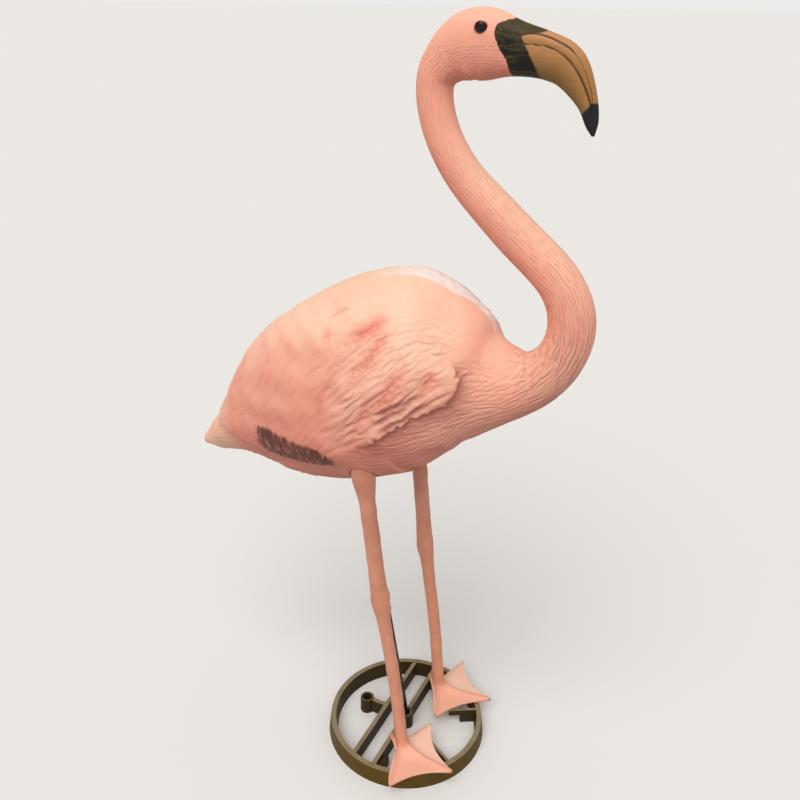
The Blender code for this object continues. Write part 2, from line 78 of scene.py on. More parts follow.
def fromLine(points, line):
    # distance of each point from a line, the side it lies on and how far along the line it is
    best = np.full(len(points), 1e9)
    turned = np.zeros(len(points))
    along = np.zeros(len(points))
    done = 0.0
    for start, end in zip(line[:-1], line[1:]):
        run = end - start
        length = np.linalg.norm(run)
        share = np.clip((points - start) @ run / length ** 2, 0, 1)
        away = points - start - share[:, None] * run
        distance = np.linalg.norm(away, axis=1)
        nearer = distance < best - 1e-9
        best[nearer] = distance[nearer]
        along[nearer] = (done + share * length)[nearer]
        if points.shape[1] == 2:
            turned[nearer] = np.sign(run[1] * away[:, 0] - run[0] * away[:, 1])[nearer]
        done += length
    return best, turned, along


def waves(points, size, key, count=14):
    # soft lumps of about one size, the same each run
    draw = np.random.default_rng(seed + key)
    total = np.zeros(len(points))
    for _ in range(count):
        way = draw.normal(size=3)
        way /= np.linalg.norm(way)
        total += np.sin(points @ way * (2 * math.pi / (size * draw.uniform(0.7, 1.6))) + draw.uniform(0, 6.3))
    return total / math.sqrt(count)


# skins: a copy of a CAD node, rounded, then worked like clay

def roundedCopy(node, name, levels, sharpAngle=50):
    shape = bmesh.new()
    shape.from_mesh(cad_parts[node].data)
    bmesh.ops.remove_doubles(shape, verts=shape.verts, dist=1e-5)
    bmesh.ops.join_triangles(shape, faces=shape.faces, angle_face_threshold=math.radians(40),
                             angle_shape_threshold=math.radians(75))
    crease = shape.edges.layers.float.new("crease_edge")
    for edge in shape.edges:
        if abs(edge.calc_face_angle(0)) > math.radians(sharpAngle):
            edge[crease] = 1.0
    mesh = bpy.data.meshes.new(name)
    shape.to_mesh(mesh)
    shape.free()
    piece = bpy.data.objects.new(name, mesh)
    scene.collection.objects.link(piece)
    rounding = piece.modifiers.new("rounding", "SUBSURF")
    rounding.levels = levels
    rounding.render_levels = levels
    bpy.context.view_layer.update()
    ready = piece.evaluated_get(bpy.context.evaluated_depsgraph_get())
    finished = bpy.data.meshes.new_from_object(ready)
    piece.modifiers.clear()
    piece.data = finished
    bpy.data.meshes.remove(mesh)
    finished.name = name
    return piece


def splitLongEdges(piece, zone, longest):
    # one more cut of the faces in a zone, so that the carving has points to hold it
    (rear, front), (low, high), outward = zone
    shape = bmesh.new()
    shape.from_mesh(piece.data)
    shape.verts.ensure_lookup_table()
    places = np.array([vert.co for vert in shape.verts])
    inside = (places[:, 0] > rear) & (places[:, 0] < front) & (places[:, 2] > low) & (places[:, 2] < high)
    inside &= np.abs(places[:, 1]) > outward
    edges = [edge for edge in shape.edges
             if inside[edge.verts[0].index] and inside[edge.verts[1].index] and edge.calc_length() > longest]
    bmesh.ops.subdivide_edges(shape, edges=edges, cuts=1, use_grid_fill=True)
    shape.to_mesh(piece.data)
    shape.free()


def relax(piece, middle, reach, rounds):
    # eases a fold where the sections of a tight bend meet
    shape = bmesh.new()
    shape.from_mesh(piece.data)
    near = [vert for vert in shape.verts if (vert.co - Vector(middle)).length < reach]
    for _ in range(rounds):
        bmesh.ops.smooth_vert(shape, verts=near, factor=0.5, use_axis_x=True, use_axis_y=True,
                              use_axis_z=True)
    shape.to_mesh(piece.data)
    shape.free()


def startSkin(piece):
    mesh = piece.data
    count = len(mesh.vertices)
    place = np.empty(count * 3)
    mesh.vertices.foreach_get("co", place)
    facing = np.empty(count * 3)
    mesh.vertices.foreach_get("normal", facing)
    place = place.reshape(-1, 3)
    tree = kdtree.KDTree(count)
    for index, spot in enumerate(place):
        tree.insert(spot, index)
    tree.balance()
    return {"piece": piece, "place": place, "facing": facing.reshape(-1, 3), "tree": tree,
            "height": np.zeros(count), "stroke": np.zeros(count)}


def engrave(skin, zone, flow, tool, key):
    # short strokes that follow the lie of the feathers, spaced so that none crosses another
    draw = np.random.default_rng(seed + key)
    place = skin["place"]
    facing = skin["facing"]
    taken = np.zeros(len(place), bool)
    reach = max(tool["length"] * 0.62, tool["apart"][0])
    for spot in draw.permutation(np.flatnonzero(zone > 0.05)):
        if taken[spot]:
            continue
        ahead = flow[spot] + draw.normal(scale=tool["stray"], size=3)
        ahead -= facing[spot] * (ahead @ facing[spot])
        ahead /= np.linalg.norm(ahead) + 1e-12
        across = np.cross(facing[spot], ahead)
        near = np.array([hit[1] for hit in skin["tree"].find_range(place[spot], reach)])
        near = near[facing[near] @ facing[spot] > 0.2]
        away = place[near] - place[spot]
        u = away @ ahead
        v = away @ across
        taken[near[(u / tool["apart"][0]) ** 2 + (v / tool["apart"][1]) ** 2 < 1]] = True
        half = tool["length"] * draw.uniform(0.35, 0.6)
        v = v + draw.normal(scale=0.10) * u * u / half
        v = v + tool["sway"] * np.sin(u / half * 2.6 + draw.uniform(0, 6.3))
        cut = np.clip(1 - (u / half) ** 2, 0, 1) * bump(v, tool["width"])
        cut = cut * draw.uniform(0.55, 1.0) * zone[spot]
        skin["stroke"][near] = np.maximum(skin["stroke"][near], cut)
        skin["height"][near] = np.minimum(skin["height"][near], -tool["depth"] * cut)


def finishSkin(skin, extra, paints):
    piece = skin["piece"]
    mesh = piece.data
    moved = skin["place"] + skin["facing"] * (skin["height"] + extra)[:, None]
    mesh.vertices.foreach_set("co", moved.ravel())
    for name, values in paints.items():
        if values.ndim == 2:
            layer = mesh.attributes.new(name, "FLOAT_VECTOR", "POINT")
            layer.data.foreach_set("vector", values.astype(np.float32).ravel())
        else:
            layer = mesh.attributes.new(name, "FLOAT", "POINT")
            layer.data.foreach_set("value", values.astype(np.float32))
    mesh.update()
    mesh.shade_smooth()
    print(piece.name, len(mesh.vertices), "points,", sum(len(face.vertices) - 2 for face in mesh.polygons),
          "triangles")


# node helpers

def newMaterial(name):
    material = bpy.data.materials.new(name)
    material.use_nodes = True
    nodes = material.node_tree.nodes
    return material.node_tree, nodes["Principled BSDF"], material


def addNode(tree, kind, inputs=(), **settings):
    node = tree.nodes.new("ShaderNode" + kind)
    for name, value in settings.items():
        setattr(node, name, value)
    for name, value in dict(inputs).items():
        if isinstance(value, bpy.types.NodeSocket):
            tree.links.new(value, node.inputs[name])
        else:
            node.inputs[name].default_value = value
    return node


def readPaint(tree, name):
    return addNode(tree, "Attribute", attribute_name=name).outputs["Fac"]


def ramp(tree, value, low, high, start=0.0, end=1.0):
    node = addNode(tree, "MapRange", interpolation_type="SMOOTHSTEP",
                   inputs={"Value": value, "From Min": low, "From Max": high, "To Min": start, "To Max": end})
    return node.outputs["Result"]


def sums(tree, operation, first, second=0.0, third=0.0, clamp=False):
    return addNode(tree, "Math", operation=operation, use_clamp=clamp,
                   inputs={0: first, 1: second, 2: third}).outputs[0]


def times(tree, first, second, clamp=False):
    return sums(tree, "MULTIPLY", first, second, clamp=clamp)


def blendColours(tree, factor, first, second):
    # the node's sockets by number: 0 the factor, 6 and 7 the colours
    node = addNode(tree, "Mix", data_type="RGBA")
    for index, value in ((0, factor), (6, first), (7, second)):
        if isinstance(value, bpy.types.NodeSocket):
            tree.links.new(value, node.inputs[index])
        elif index:
            node.inputs[index].default_value = (*value, 1)
        else:
            node.inputs[index].default_value = value
    return node.outputs[2]


def stretchedNoise(tree, scale, detail=3.0, stretch=(1, 1, 1), turn=(0, 0, 0)):
    where = addNode(tree, "TexCoord").outputs["Object"]
    mapped = addNode(tree, "Mapping", inputs={"Vector": where, "Scale": stretch, "Rotation": turn})
    return addNode(tree, "TexNoise", inputs={"Vector": mapped.outputs["Vector"], "Scale": scale,
                                             "Detail": detail, "Roughness": 0.55}).outputs["Fac"]


def mouldedGrainGroup():
    # the pitted, slightly uneven skin that all the plastic pieces share
    group = bpy.data.node_groups.new("mouldedGrain", "ShaderNodeTree")
    for name, value in (("Pit Scale", 900.0), ("Cloud Scale", 22.0), ("Pit Depth", 0.3)):
        group.interface.new_socket(name, in_out="INPUT", socket_type="NodeSocketFloat").default_value = value
    group.interface.new_socket("Height", in_out="OUTPUT", socket_type="NodeSocketFloat")
    group.interface.new_socket("Cloud", in_out="OUTPUT", socket_type="NodeSocketFloat")
    start = group.nodes.new("NodeGroupInput")
    end = group.nodes.new("NodeGroupOutput")
    where = addNode(group, "TexCoord").outputs["Object"]
    pits = addNode(group, "TexNoise", inputs={"Vector": where, "Scale": start.outputs["Pit Scale"],
                                              "Detail": 3.0})
    clouds = addNode(group, "TexNoise", inputs={"Vector": where, "Scale": start.outputs["Cloud Scale"],
                                                "Detail": 4.0})
    deep = times(group, pits.outputs["Fac"], start.outputs["Pit Depth"])
    group.links.new(deep, end.inputs["Height"])
    group.links.new(clouds.outputs["Fac"], end.inputs["Cloud"])
    return group


mouldedGrain = mouldedGrainGroup()


def grainIn(tree, pitScale, cloudScale, pitDepth):
    node = tree.nodes.new("ShaderNodeGroup")
    node.node_tree = mouldedGrain
    node.inputs["Pit Scale"].default_value = pitScale
    node.inputs["Cloud Scale"].default_value = cloudScale
    node.inputs["Pit Depth"].default_value = pitDepth
    return node


def featherStrokesGroup():
    # thin wavy grooves that run with the feathers, and the soft swell between them
    group = bpy.data.node_groups.new("featherStrokes", "ShaderNodeTree")
    group.interface.new_socket("Lie", in_out="INPUT", socket_type="NodeSocketVector")
    for name, value in (("Along", 50.0), ("Across", 150.0), ("Lines", 200.0), ("Wander", 1.0)):
        group.interface.new_socket(name, in_out="INPUT", socket_type="NodeSocketFloat").default_value = value
    for name in ("Groove", "Swell"):
        group.interface.new_socket(name, in_out="OUTPUT", socket_type="NodeSocketFloat")
    start = group.nodes.new("NodeGroupInput").outputs
    end = group.nodes.new("NodeGroupOutput").inputs
    stretch = addNode(group, "CombineXYZ", {"X": start["Along"], "Y": start["Across"], "Z": start["Across"]})
    scaled = addNode(group, "VectorMath", {0: start["Lie"], 1: stretch.outputs[0]}, operation="MULTIPLY")
    noise = addNode(group, "TexNoise", {"Vector": scaled.outputs[0], "Scale": 1.0, "Detail": 1.5})
    parts = addNode(group, "SeparateXYZ", {"Vector": start["Lie"]})
    outward = times(group, sums(group, "ABSOLUTE", parts.outputs["Z"]), 0.6)
    across = times(group, sums(group, "SUBTRACT", parts.outputs["Y"], outward), start["Lines"])
    wander = times(group, noise.outputs["Fac"], start["Wander"])
    wave = sums(group, "SINE", times(group, sums(group, "ADD", across, wander), 2 * math.pi))
    breaks = addNode(group, "TexNoise", {"Vector": scaled.outputs[0], "Scale": 1.7, "Detail": 0.0})
    broken = ramp(group, breaks.outputs["Fac"], 0.40, 0.56, 0.25, 1.0)
    group.links.new(times(group, ramp(group, wave, 0.50, 0.97), broken), end["Groove"])
    risen = sums(group, "MULTIPLY_ADD", wave, -0.5, 0.5)
    group.links.new(times(group, risen, broken), end["Swell"])
    return group


featherStrokes = featherStrokesGroup()


def strokesIn(tree, lie, length, width, apart, wander):
    node = tree.nodes.new("ShaderNodeGroup")
    node.node_tree = featherStrokes
    tree.links.new(addNode(tree, "Attribute", attribute_name=lie).outputs["Vector"], node.inputs["Lie"])
    node.inputs["Along"].default_value = 1 / length
    node.inputs["Across"].default_value = 1 / width
    node.inputs["Lines"].default_value = 1 / apart
    node.inputs["Wander"].default_value = wander
    return node.outputs["Groove"], node.outputs["Swell"]


def wearMaterial(piece, material):
    piece.data.materials.clear()
    piece.data.materials.append(material)


def standFor(piece, node):
    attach(piece, "root")
    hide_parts(node)


# camera, light and floor

viewpoint = {
    "place": (0.3435, -0.7412, 0.8708),
    "right": (0.8958, 0.4443, 0.0154),
    "up": (-0.2040, 0.3801, 0.9022),
    "lens": 37.34,
}


def setCamera():
    data = bpy.data.cameras.new("photoCamera")
    data.lens = viewpoint["lens"]
    data.sensor_width = 36
    data.clip_start = 0.02
    data.clip_end = 1500
    camera = bpy.data.objects.new("photoCamera", data)
    right = Vector(viewpoint["right"]).normalized()
    up = Vector(viewpoint["up"])
    back = right.cross(up).normalized()
    up = back.cross(right)
    turn = Matrix((right, up, back)).transposed().to_4x4()
    camera.matrix_world = Matrix.Translation(viewpoint["place"]) @ turn
    scene.collection.objects.link(camera)
    scene.camera = camera


studio = {
    "lightFrom": (0.06, -0.58, 0.80),      # a large soft lamp, high on the viewer's left
    "lightPower": 2.0,
    "lightSpread": math.radians(50),
    "lightColour": (1, 0.975, 0.94),
    "skyAbove": 0.52,
    "skyLevel": 0.84,       # a band round the horizon as pale as the floor
    "skyBelow": 0.38,
    "skyColour": (1.0, 0.985, 0.965),
    "floorReach": 400,
    "floorColour": (0.80, 0.792, 0.78),
}


def setLights():
    data = bpy.data.lights.new("softLamp", "SUN")
    data.energy = studio["lightPower"]
    data.angle = studio["lightSpread"]
    data.color = studio["lightColour"]
    lamp = bpy.data.objects.new("softLamp", data)
    lamp.matrix_world = Vector(studio["lightFrom"]).to_track_quat("Z", "Y").to_matrix().to_4x4()
    scene.collection.objects.link(lamp)
    world = bpy.data.worlds.new("paleRoom")
    world.use_nodes = True
    tree = world.node_tree
    way = addNode(tree, "SeparateXYZ", inputs={"Vector": addNode(tree, "TexCoord").outputs["Generated"]})
    dome = ramp(tree, way.outputs["Z"], -0.25, 0.25, studio["skyBelow"], studio["skyAbove"])
    level = times(tree, ramp(tree, way.outputs["Z"], -0.03, -0.005), ramp(tree, way.outputs["Z"], 0.45, 0.04))
    strength = sums(tree, "MAXIMUM", dome, times(tree, level, studio["skyLevel"]))
    tree.nodes["Background"].inputs["Color"].default_value = (*studio["skyColour"], 1)
    tree.links.new(strength, tree.nodes["Background"].inputs["Strength"])
    scene.world = world


def setFloor():
    shape = bmesh.new()
    bmesh.ops.create_grid(shape, x_segments=1, y_segments=1, size=studio["floorReach"])
    mesh = bpy.data.meshes.new("paleFloor")
    shape.to_mesh(mesh)
    shape.free()
    floor = bpy.data.objects.new("paleFloor", mesh)
    scene.collection.objects.link(floor)
    tree, shader, material = newMaterial("paleFloor")
    shader.inputs["Base Color"].default_value = (*studio["floorColour"], 1)
    shader.inputs["Roughness"].default_value = 0.9
    shader.inputs["Specular IOR Level"].default_value = 0.0
    floor.visible_diffuse = False       # no light thrown up at the belly
    wearMaterial(floor, material)


setCamera()
setLights()
setFloor()
print("camera, lights and floor are up")


# body, neck and head

# middle line of the bird from tail to beak, forward and up in mm
spine = ((-289, 364), (-214, 412), (-158, 446), (-91, 480), (-17, 516), (23, 522), (61, 523), (90, 522),
         (130, 532), (155, 559), (164, 597), (148, 636), (93, 683), (44, 728), (18, 771), (13, 807),
         (29, 829), (46, 839), (66, 840), (90, 837), (116, 833), (137, 824), (155, 799), (162, 778),
         (164, 770))
spineSteps = 12     # how finely the middle line is divided between two of its points
neckStart = 8       # number of the spine's point where the neck leaves the body
headStart = 15      # and where the head begins

# the lie of the feathers on the body: where, forward and up in mm, and the way they point
featherLie = (
    ((120, 520), (-1.0, -0.10)), ((90, 470), (-1.0, -0.30)), ((90, 560), (-1.0, 0.25)),
    ((60, 590), (-0.9, 0.25)), ((20, 620), (-1.0, 0.05)), ((-60, 620), (-1.0, -0.20)),
    ((40, 560), (-0.75, -0.70)), ((0, 575), (-0.7, -0.7)), ((0, 520), (-0.62, -0.8)),
    ((30, 500), (-0.85, -0.5)), ((-20, 470), (-0.75, -0.62)), ((-50, 540), (-0.5, -0.85)),
    ((-60, 590), (-0.8, -0.5)), ((-110, 560), (-0.6, -0.7)), ((-110, 490), (-0.25, -1.0)),
    ((-60, 450), (-0.45, -0.9)), ((-160, 500), (-0.35, -0.95)), ((-200, 450), (-0.6, -0.8)),
    ((-170, 420), (-0.35, -0.9)), ((-250, 400), (-0.85, -0.5)), ((-100, 400), (-1.0, 0.0)),
    ((30, 440), (-1.0, -0.3)),
)

# lines of the wing in the side view, forward and up in mm; the ridge has its place to the side too
wing = {
    "frontEdge": ((-60, 652), (20, 634), (58, 606), (69, 588), (66, 572), (64, 562), (70, 553), (73, 545),
                  (74, 536), (71, 527), (64, 519), (52, 513), (40, 506), (27, 496), (12, 485), (-3, 472),
                  (-26, 456), (-50, 440)),
    "ridge": ((-95, -12, 600), (-50, -16, 619), (-21, -19, 624), (-5, -19, 625), (20, -13, 618),
              (42, -11, 610), (59, -1, 597), (75, 3, 583)),
    "plumes": (((5, 596), (-7, 590), (-19, 582), (-31, 574), (-38, 567)),
               ((15, 588), (6, 581), (-2, 573), (-9, 559), (-14, 551), (-23, 544), (-27, 527)),
               ((33, 562), (28, 552), (21, 543), (16, 532), (10, 518), (-6, 500)),
               ((56, 554), (52, 547), (48, 537), (45, 529)),
               ((2, 526), (-6, 512), (-17, 486), (-26, 465)),
               ((-31, 549), (-44, 537), (-52, 524), (-57, 508), (-55, 495)),
               ((-58, 574), (-68, 562)),
               ((30, 545), (22, 530), (21, 515))),
    "plumePaint": (1.0, 0.8, 0.85, 0.8, 0.6, 0.3, 0.4, 0.3),      # how strongly each plume is marked
    "gaps": (((52, 537), (38, 524), (28, 515), (17, 506), (0, 494)),
             ((60, 526), (48, 517), (36, 508), (23, 498), (2, 484)),
             ((34, 528), (26, 519), (14, 511), (2, 505))),
    "hairs": (((-60, 545), (-70, 537), (-81, 526)), ((-43, 597), (-56, 592), (-70, 582)),
              ((-141, 529), (-144, 517)), ((-31, 549), (-44, 537), (-52, 524), (-57, 508), (-55, 495)),
              ((-30, 556), (-46, 546), (-57, 534)), ((-62, 515), (-60, 500), (-62, 488))),
    "band": ((-150, 452), (-132, 454), (-108, 453), (-88, 451), (-65, 450), (-48, 443), (-48, 431),
             (-72, 427), (-97, 422), (-121, 420), (-145, 417), (-156, 427)),
    "rearEnd": ((-240, 430), (-232, 426), (-226, 423), (-216, 418), (-200, 417), (-183, 414), (-160, 413)),
    "bellyEdge": ((-203, 392), (-172, 394), (-136, 391), (-114, 391), (-81, 397), (-60, 404)),
}

# borders of the paint and the two cut lines of the beak, forward and up in mm
beak = {
    "pinkEdge": ((95, 885), (88, 863), (83, 860), (76, 857), (74, 852), (75, 846), (80, 836), (85, 829),
                 (87, 821), (90, 812), (94, 795)),
    "tanEdge": ((135, 875), (118, 854), (108, 850), (97, 848), (100, 841), (104, 835), (111, 822),
                (115, 813), (120, 795)),
    "tipEdge": ((185, 796), (162, 797), (159, 795), (155, 791), (151, 788), (135, 783)),
    "mouth": ((80, 838.5), (93, 841.5), (113, 841), (124, 838.5), (135, 833), (144, 824), (152, 812),
              (159, 797), (161, 788)),
    "upperLine": ((76, 851), (92, 848), (104, 850), (117, 848), (128, 844), (139, 838.5), (150, 826),
                  (158, 809), (162, 794)),
}

# middle of the eyes in the side view, in metres, and how much their round is squashed to an oval
eye = {"place": (0.0626, 0, 0.8540), "squash": (1.16, 0, 1.24)}

# zones cut finer: from rear to front, from low to high and how far out from the middle, in metres
# folds eased: middle and reach in metres, and the rounds of smoothing
# lumps raised or sunk: place in the side view in metres, then height and width in mm
bodyForm = {
    "foreZone": ((-0.080, 0.150), (0.385, 0.66), -1),
    "foreEdge": 0.0027,
    "wingZone": ((-0.030, 0.118), (0.466, 0.582), 0.016),
    "wingEdge": 0.0016,
    "folds": (((0.040, 0, 0.811), 0.017, 60), ((0.077, -0.008, 0.580), 0.026, 60),
              ((0.088, -0.032, 0.566), 0.026, 50), ((0.088, 0.032, 0.566), 0.026, 50)),
    "chinLump": ((0.047, 0.813), 2.6, 7),
    "bellyLumps": (((0.077, 0.464), 1.8, 15), ((0.050, 0.450), -2.6, 17)),
}

# how far each feature stands up or is cut in, in mm
bodyRelief = {
    "skin": 0.25,
    "wingStep": 2.8,
    "underWing": 2.0,
    "plumeCut": 1.3,
    "plumeSwell": 1.2,
    "gapCut": 3.2,
    "hairCut": 0.7,
    "wingWaves": 0.5,
    "beakLines": 0.6,
    "eyeRim": 0.35,
    "crestCut": 0.8,
    "farWingWaves": 0.6,
    "rearStep": 1.8,
    "bellyStep": 1.6,
}

# the ways that the strokes lie at the front of the wing and in its lower strands
byWingWay = (-1.0, 0, -0.08)
strandWay = (-0.77, 0, -0.64)

# strokes in metres; apart is along and across them
strokes = {
    "breast": {"length": 0.028, "apart": (0.0140, 0.0042), "width": 0.0011, "depth": 0.0010, "sway": 0.0007,
               "stray": 0.07},
    "strand": {"length": 0.046, "apart": (0.022, 0.0064), "width": 0.0021, "depth": 0.0026, "sway": 0.0012,
               "stray": 0.08},
    "plume": {"length": 0.030, "apart": (0.0170, 0.0058), "width": 0.0012, "depth": 0.0009, "sway": 0.0008,
              "stray": 0.10},
}


def nearestStation(flat, line):
    # the line's nearest point for each spot, in parts to spare memory
    return np.concatenate([((part[:, None] - line[None]) ** 2).sum(2).argmin(1)
                           for part in np.array_split(flat, 24)])


def featherWay(flat, line, station):
    # the way the feathers point in the side view: along the spine on the neck, by the table on the body
    run = np.gradient(line, axis=0)
    run /= np.linalg.norm(run, axis=1)[:, None]
    total = np.zeros((len(flat), 2))
    for where, way in featherLie:
        pull = 1 / (((flat - asMetres(where)) ** 2).sum(1) + (18 * mm) ** 2) ** 1.5
        total += pull[:, None] * np.array(way) / np.linalg.norm(way)
    total /= np.linalg.norm(total, axis=1)[:, None]
    neckShare = smoothStep(flat[:, 0], 0.080, 0.130)[:, None]
    neckShare = np.maximum(neckShare, smoothStep(flat[:, 1], 0.655, 0.670)[:, None])
    way = -run[station] * neckShare + total * (1 - neckShare)
    return way / (np.linalg.norm(way, axis=1)[:, None] + 1e-9)


# a square grid over the side view: low corner and pitch in metres, cells each way and rounds of solving
sideGrid = {"low": (-0.312, 0.336), "cells": (176, 186), "pitch": 0.003, "rounds": 700}


def slopeField(mask, way):
    # the values whose slope over the side view follows the given direction as nearly as it can
    steps = []
    for axis in (0, 1):
        here = tuple(slice(None, -1) if number == axis else slice(None) for number in (0, 1))
        after = tuple(slice(1, None) if number == axis else slice(None) for number in (0, 1))
        linked = mask[here] & mask[after]
        wanted = (way[here][..., axis] + way[after][..., axis]) / 2 * sideGrid["pitch"] * linked
        steps.append((here, after, linked, wanted))

    def gather(flows):
        total = np.zeros(mask.shape)
        for (here, after, _, _), flow in zip(steps, flows):
            total[here] -= flow
            total[after] += flow
        return total

    def spread(field):
        return gather([(field[after] - field[here]) * linked for here, after, linked, _ in steps])

    field = np.zeros(mask.shape)
    rest = gather([wanted for _, _, _, wanted in steps])
    search = rest.copy()
    size = (rest ** 2).sum()
    for _ in range(sideGrid["rounds"]):
        pushed = spread(search)
        stride = size / ((search * pushed).sum() + 1e-30)
        field += stride * search
        rest -= stride * pushed
        newSize = (rest ** 2).sum()
        search = rest + search * newSize / (size + 1e-30)
        size = newSize
    return field


def featherLieOf(place, line):
    # along and across the feathers, and out to the side, so that a pattern can run with them
    low = np.array(sideGrid["low"])
    cells = sideGrid["cells"]
    spots = (place[:, (0, 2)] - low) / sideGrid["pitch"]
    mask = np.zeros(cells, bool)
    whole = spots.round().astype(int)
    mask[whole[:, 0], whole[:, 1]] = True
    for _ in range(3):
        wider = mask.copy()
        wider[1:] |= mask[:-1]
        wider[:-1] |= mask[1:]
        wider[:, 1:] |= mask[:, :-1]
        wider[:, :-1] |= mask[:, 1:]
        mask = wider
    middle = np.stack(np.meshgrid(*(np.arange(count) for count in cells), indexing="ij"), 2).reshape(-1, 2)
    middle = middle * sideGrid["pitch"] + low
    way = featherWay(middle, line, nearestStation(middle, line)).reshape(*cells, 2)
    base = np.floor(spots).astype(int)
    part = spots - base
    columns = []
    for field in (slopeField(mask, way), slopeField(mask, np.stack([-way[..., 1], way[..., 0]], 2))):
        total = np.zeros(len(place))
        for right in (0, 1):
            for above in (0, 1):
                share = (part[:, 0] if right else 1 - part[:, 0]) * (part[:, 1] if above else 1 - part[:, 1])
                total += share * field[base[:, 0] + right, base[:, 1] + above]
        columns.append(total)
    return np.stack([*columns, place[:, 1]], 1)


def insideOutline(flat, outline):
    # signed distance from a closed outline, positive inside
    closed = np.vstack([outline, outline[:1]])
    distance, _, _ = fromLine(flat, closed)
    inside = np.zeros(len(flat), bool)
    for start, end in zip(closed[:-1], closed[1:]):
        crosses = (start[1] > flat[:, 1]) != (end[1] > flat[:, 1])
        where = start[0] + (flat[:, 1] - start[1]) / (end[1] - start[1] + 1e-12) * (end[0] - start[0])
        inside ^= crosses & (flat[:, 0] < where)
    return np.where(inside, distance, -distance)


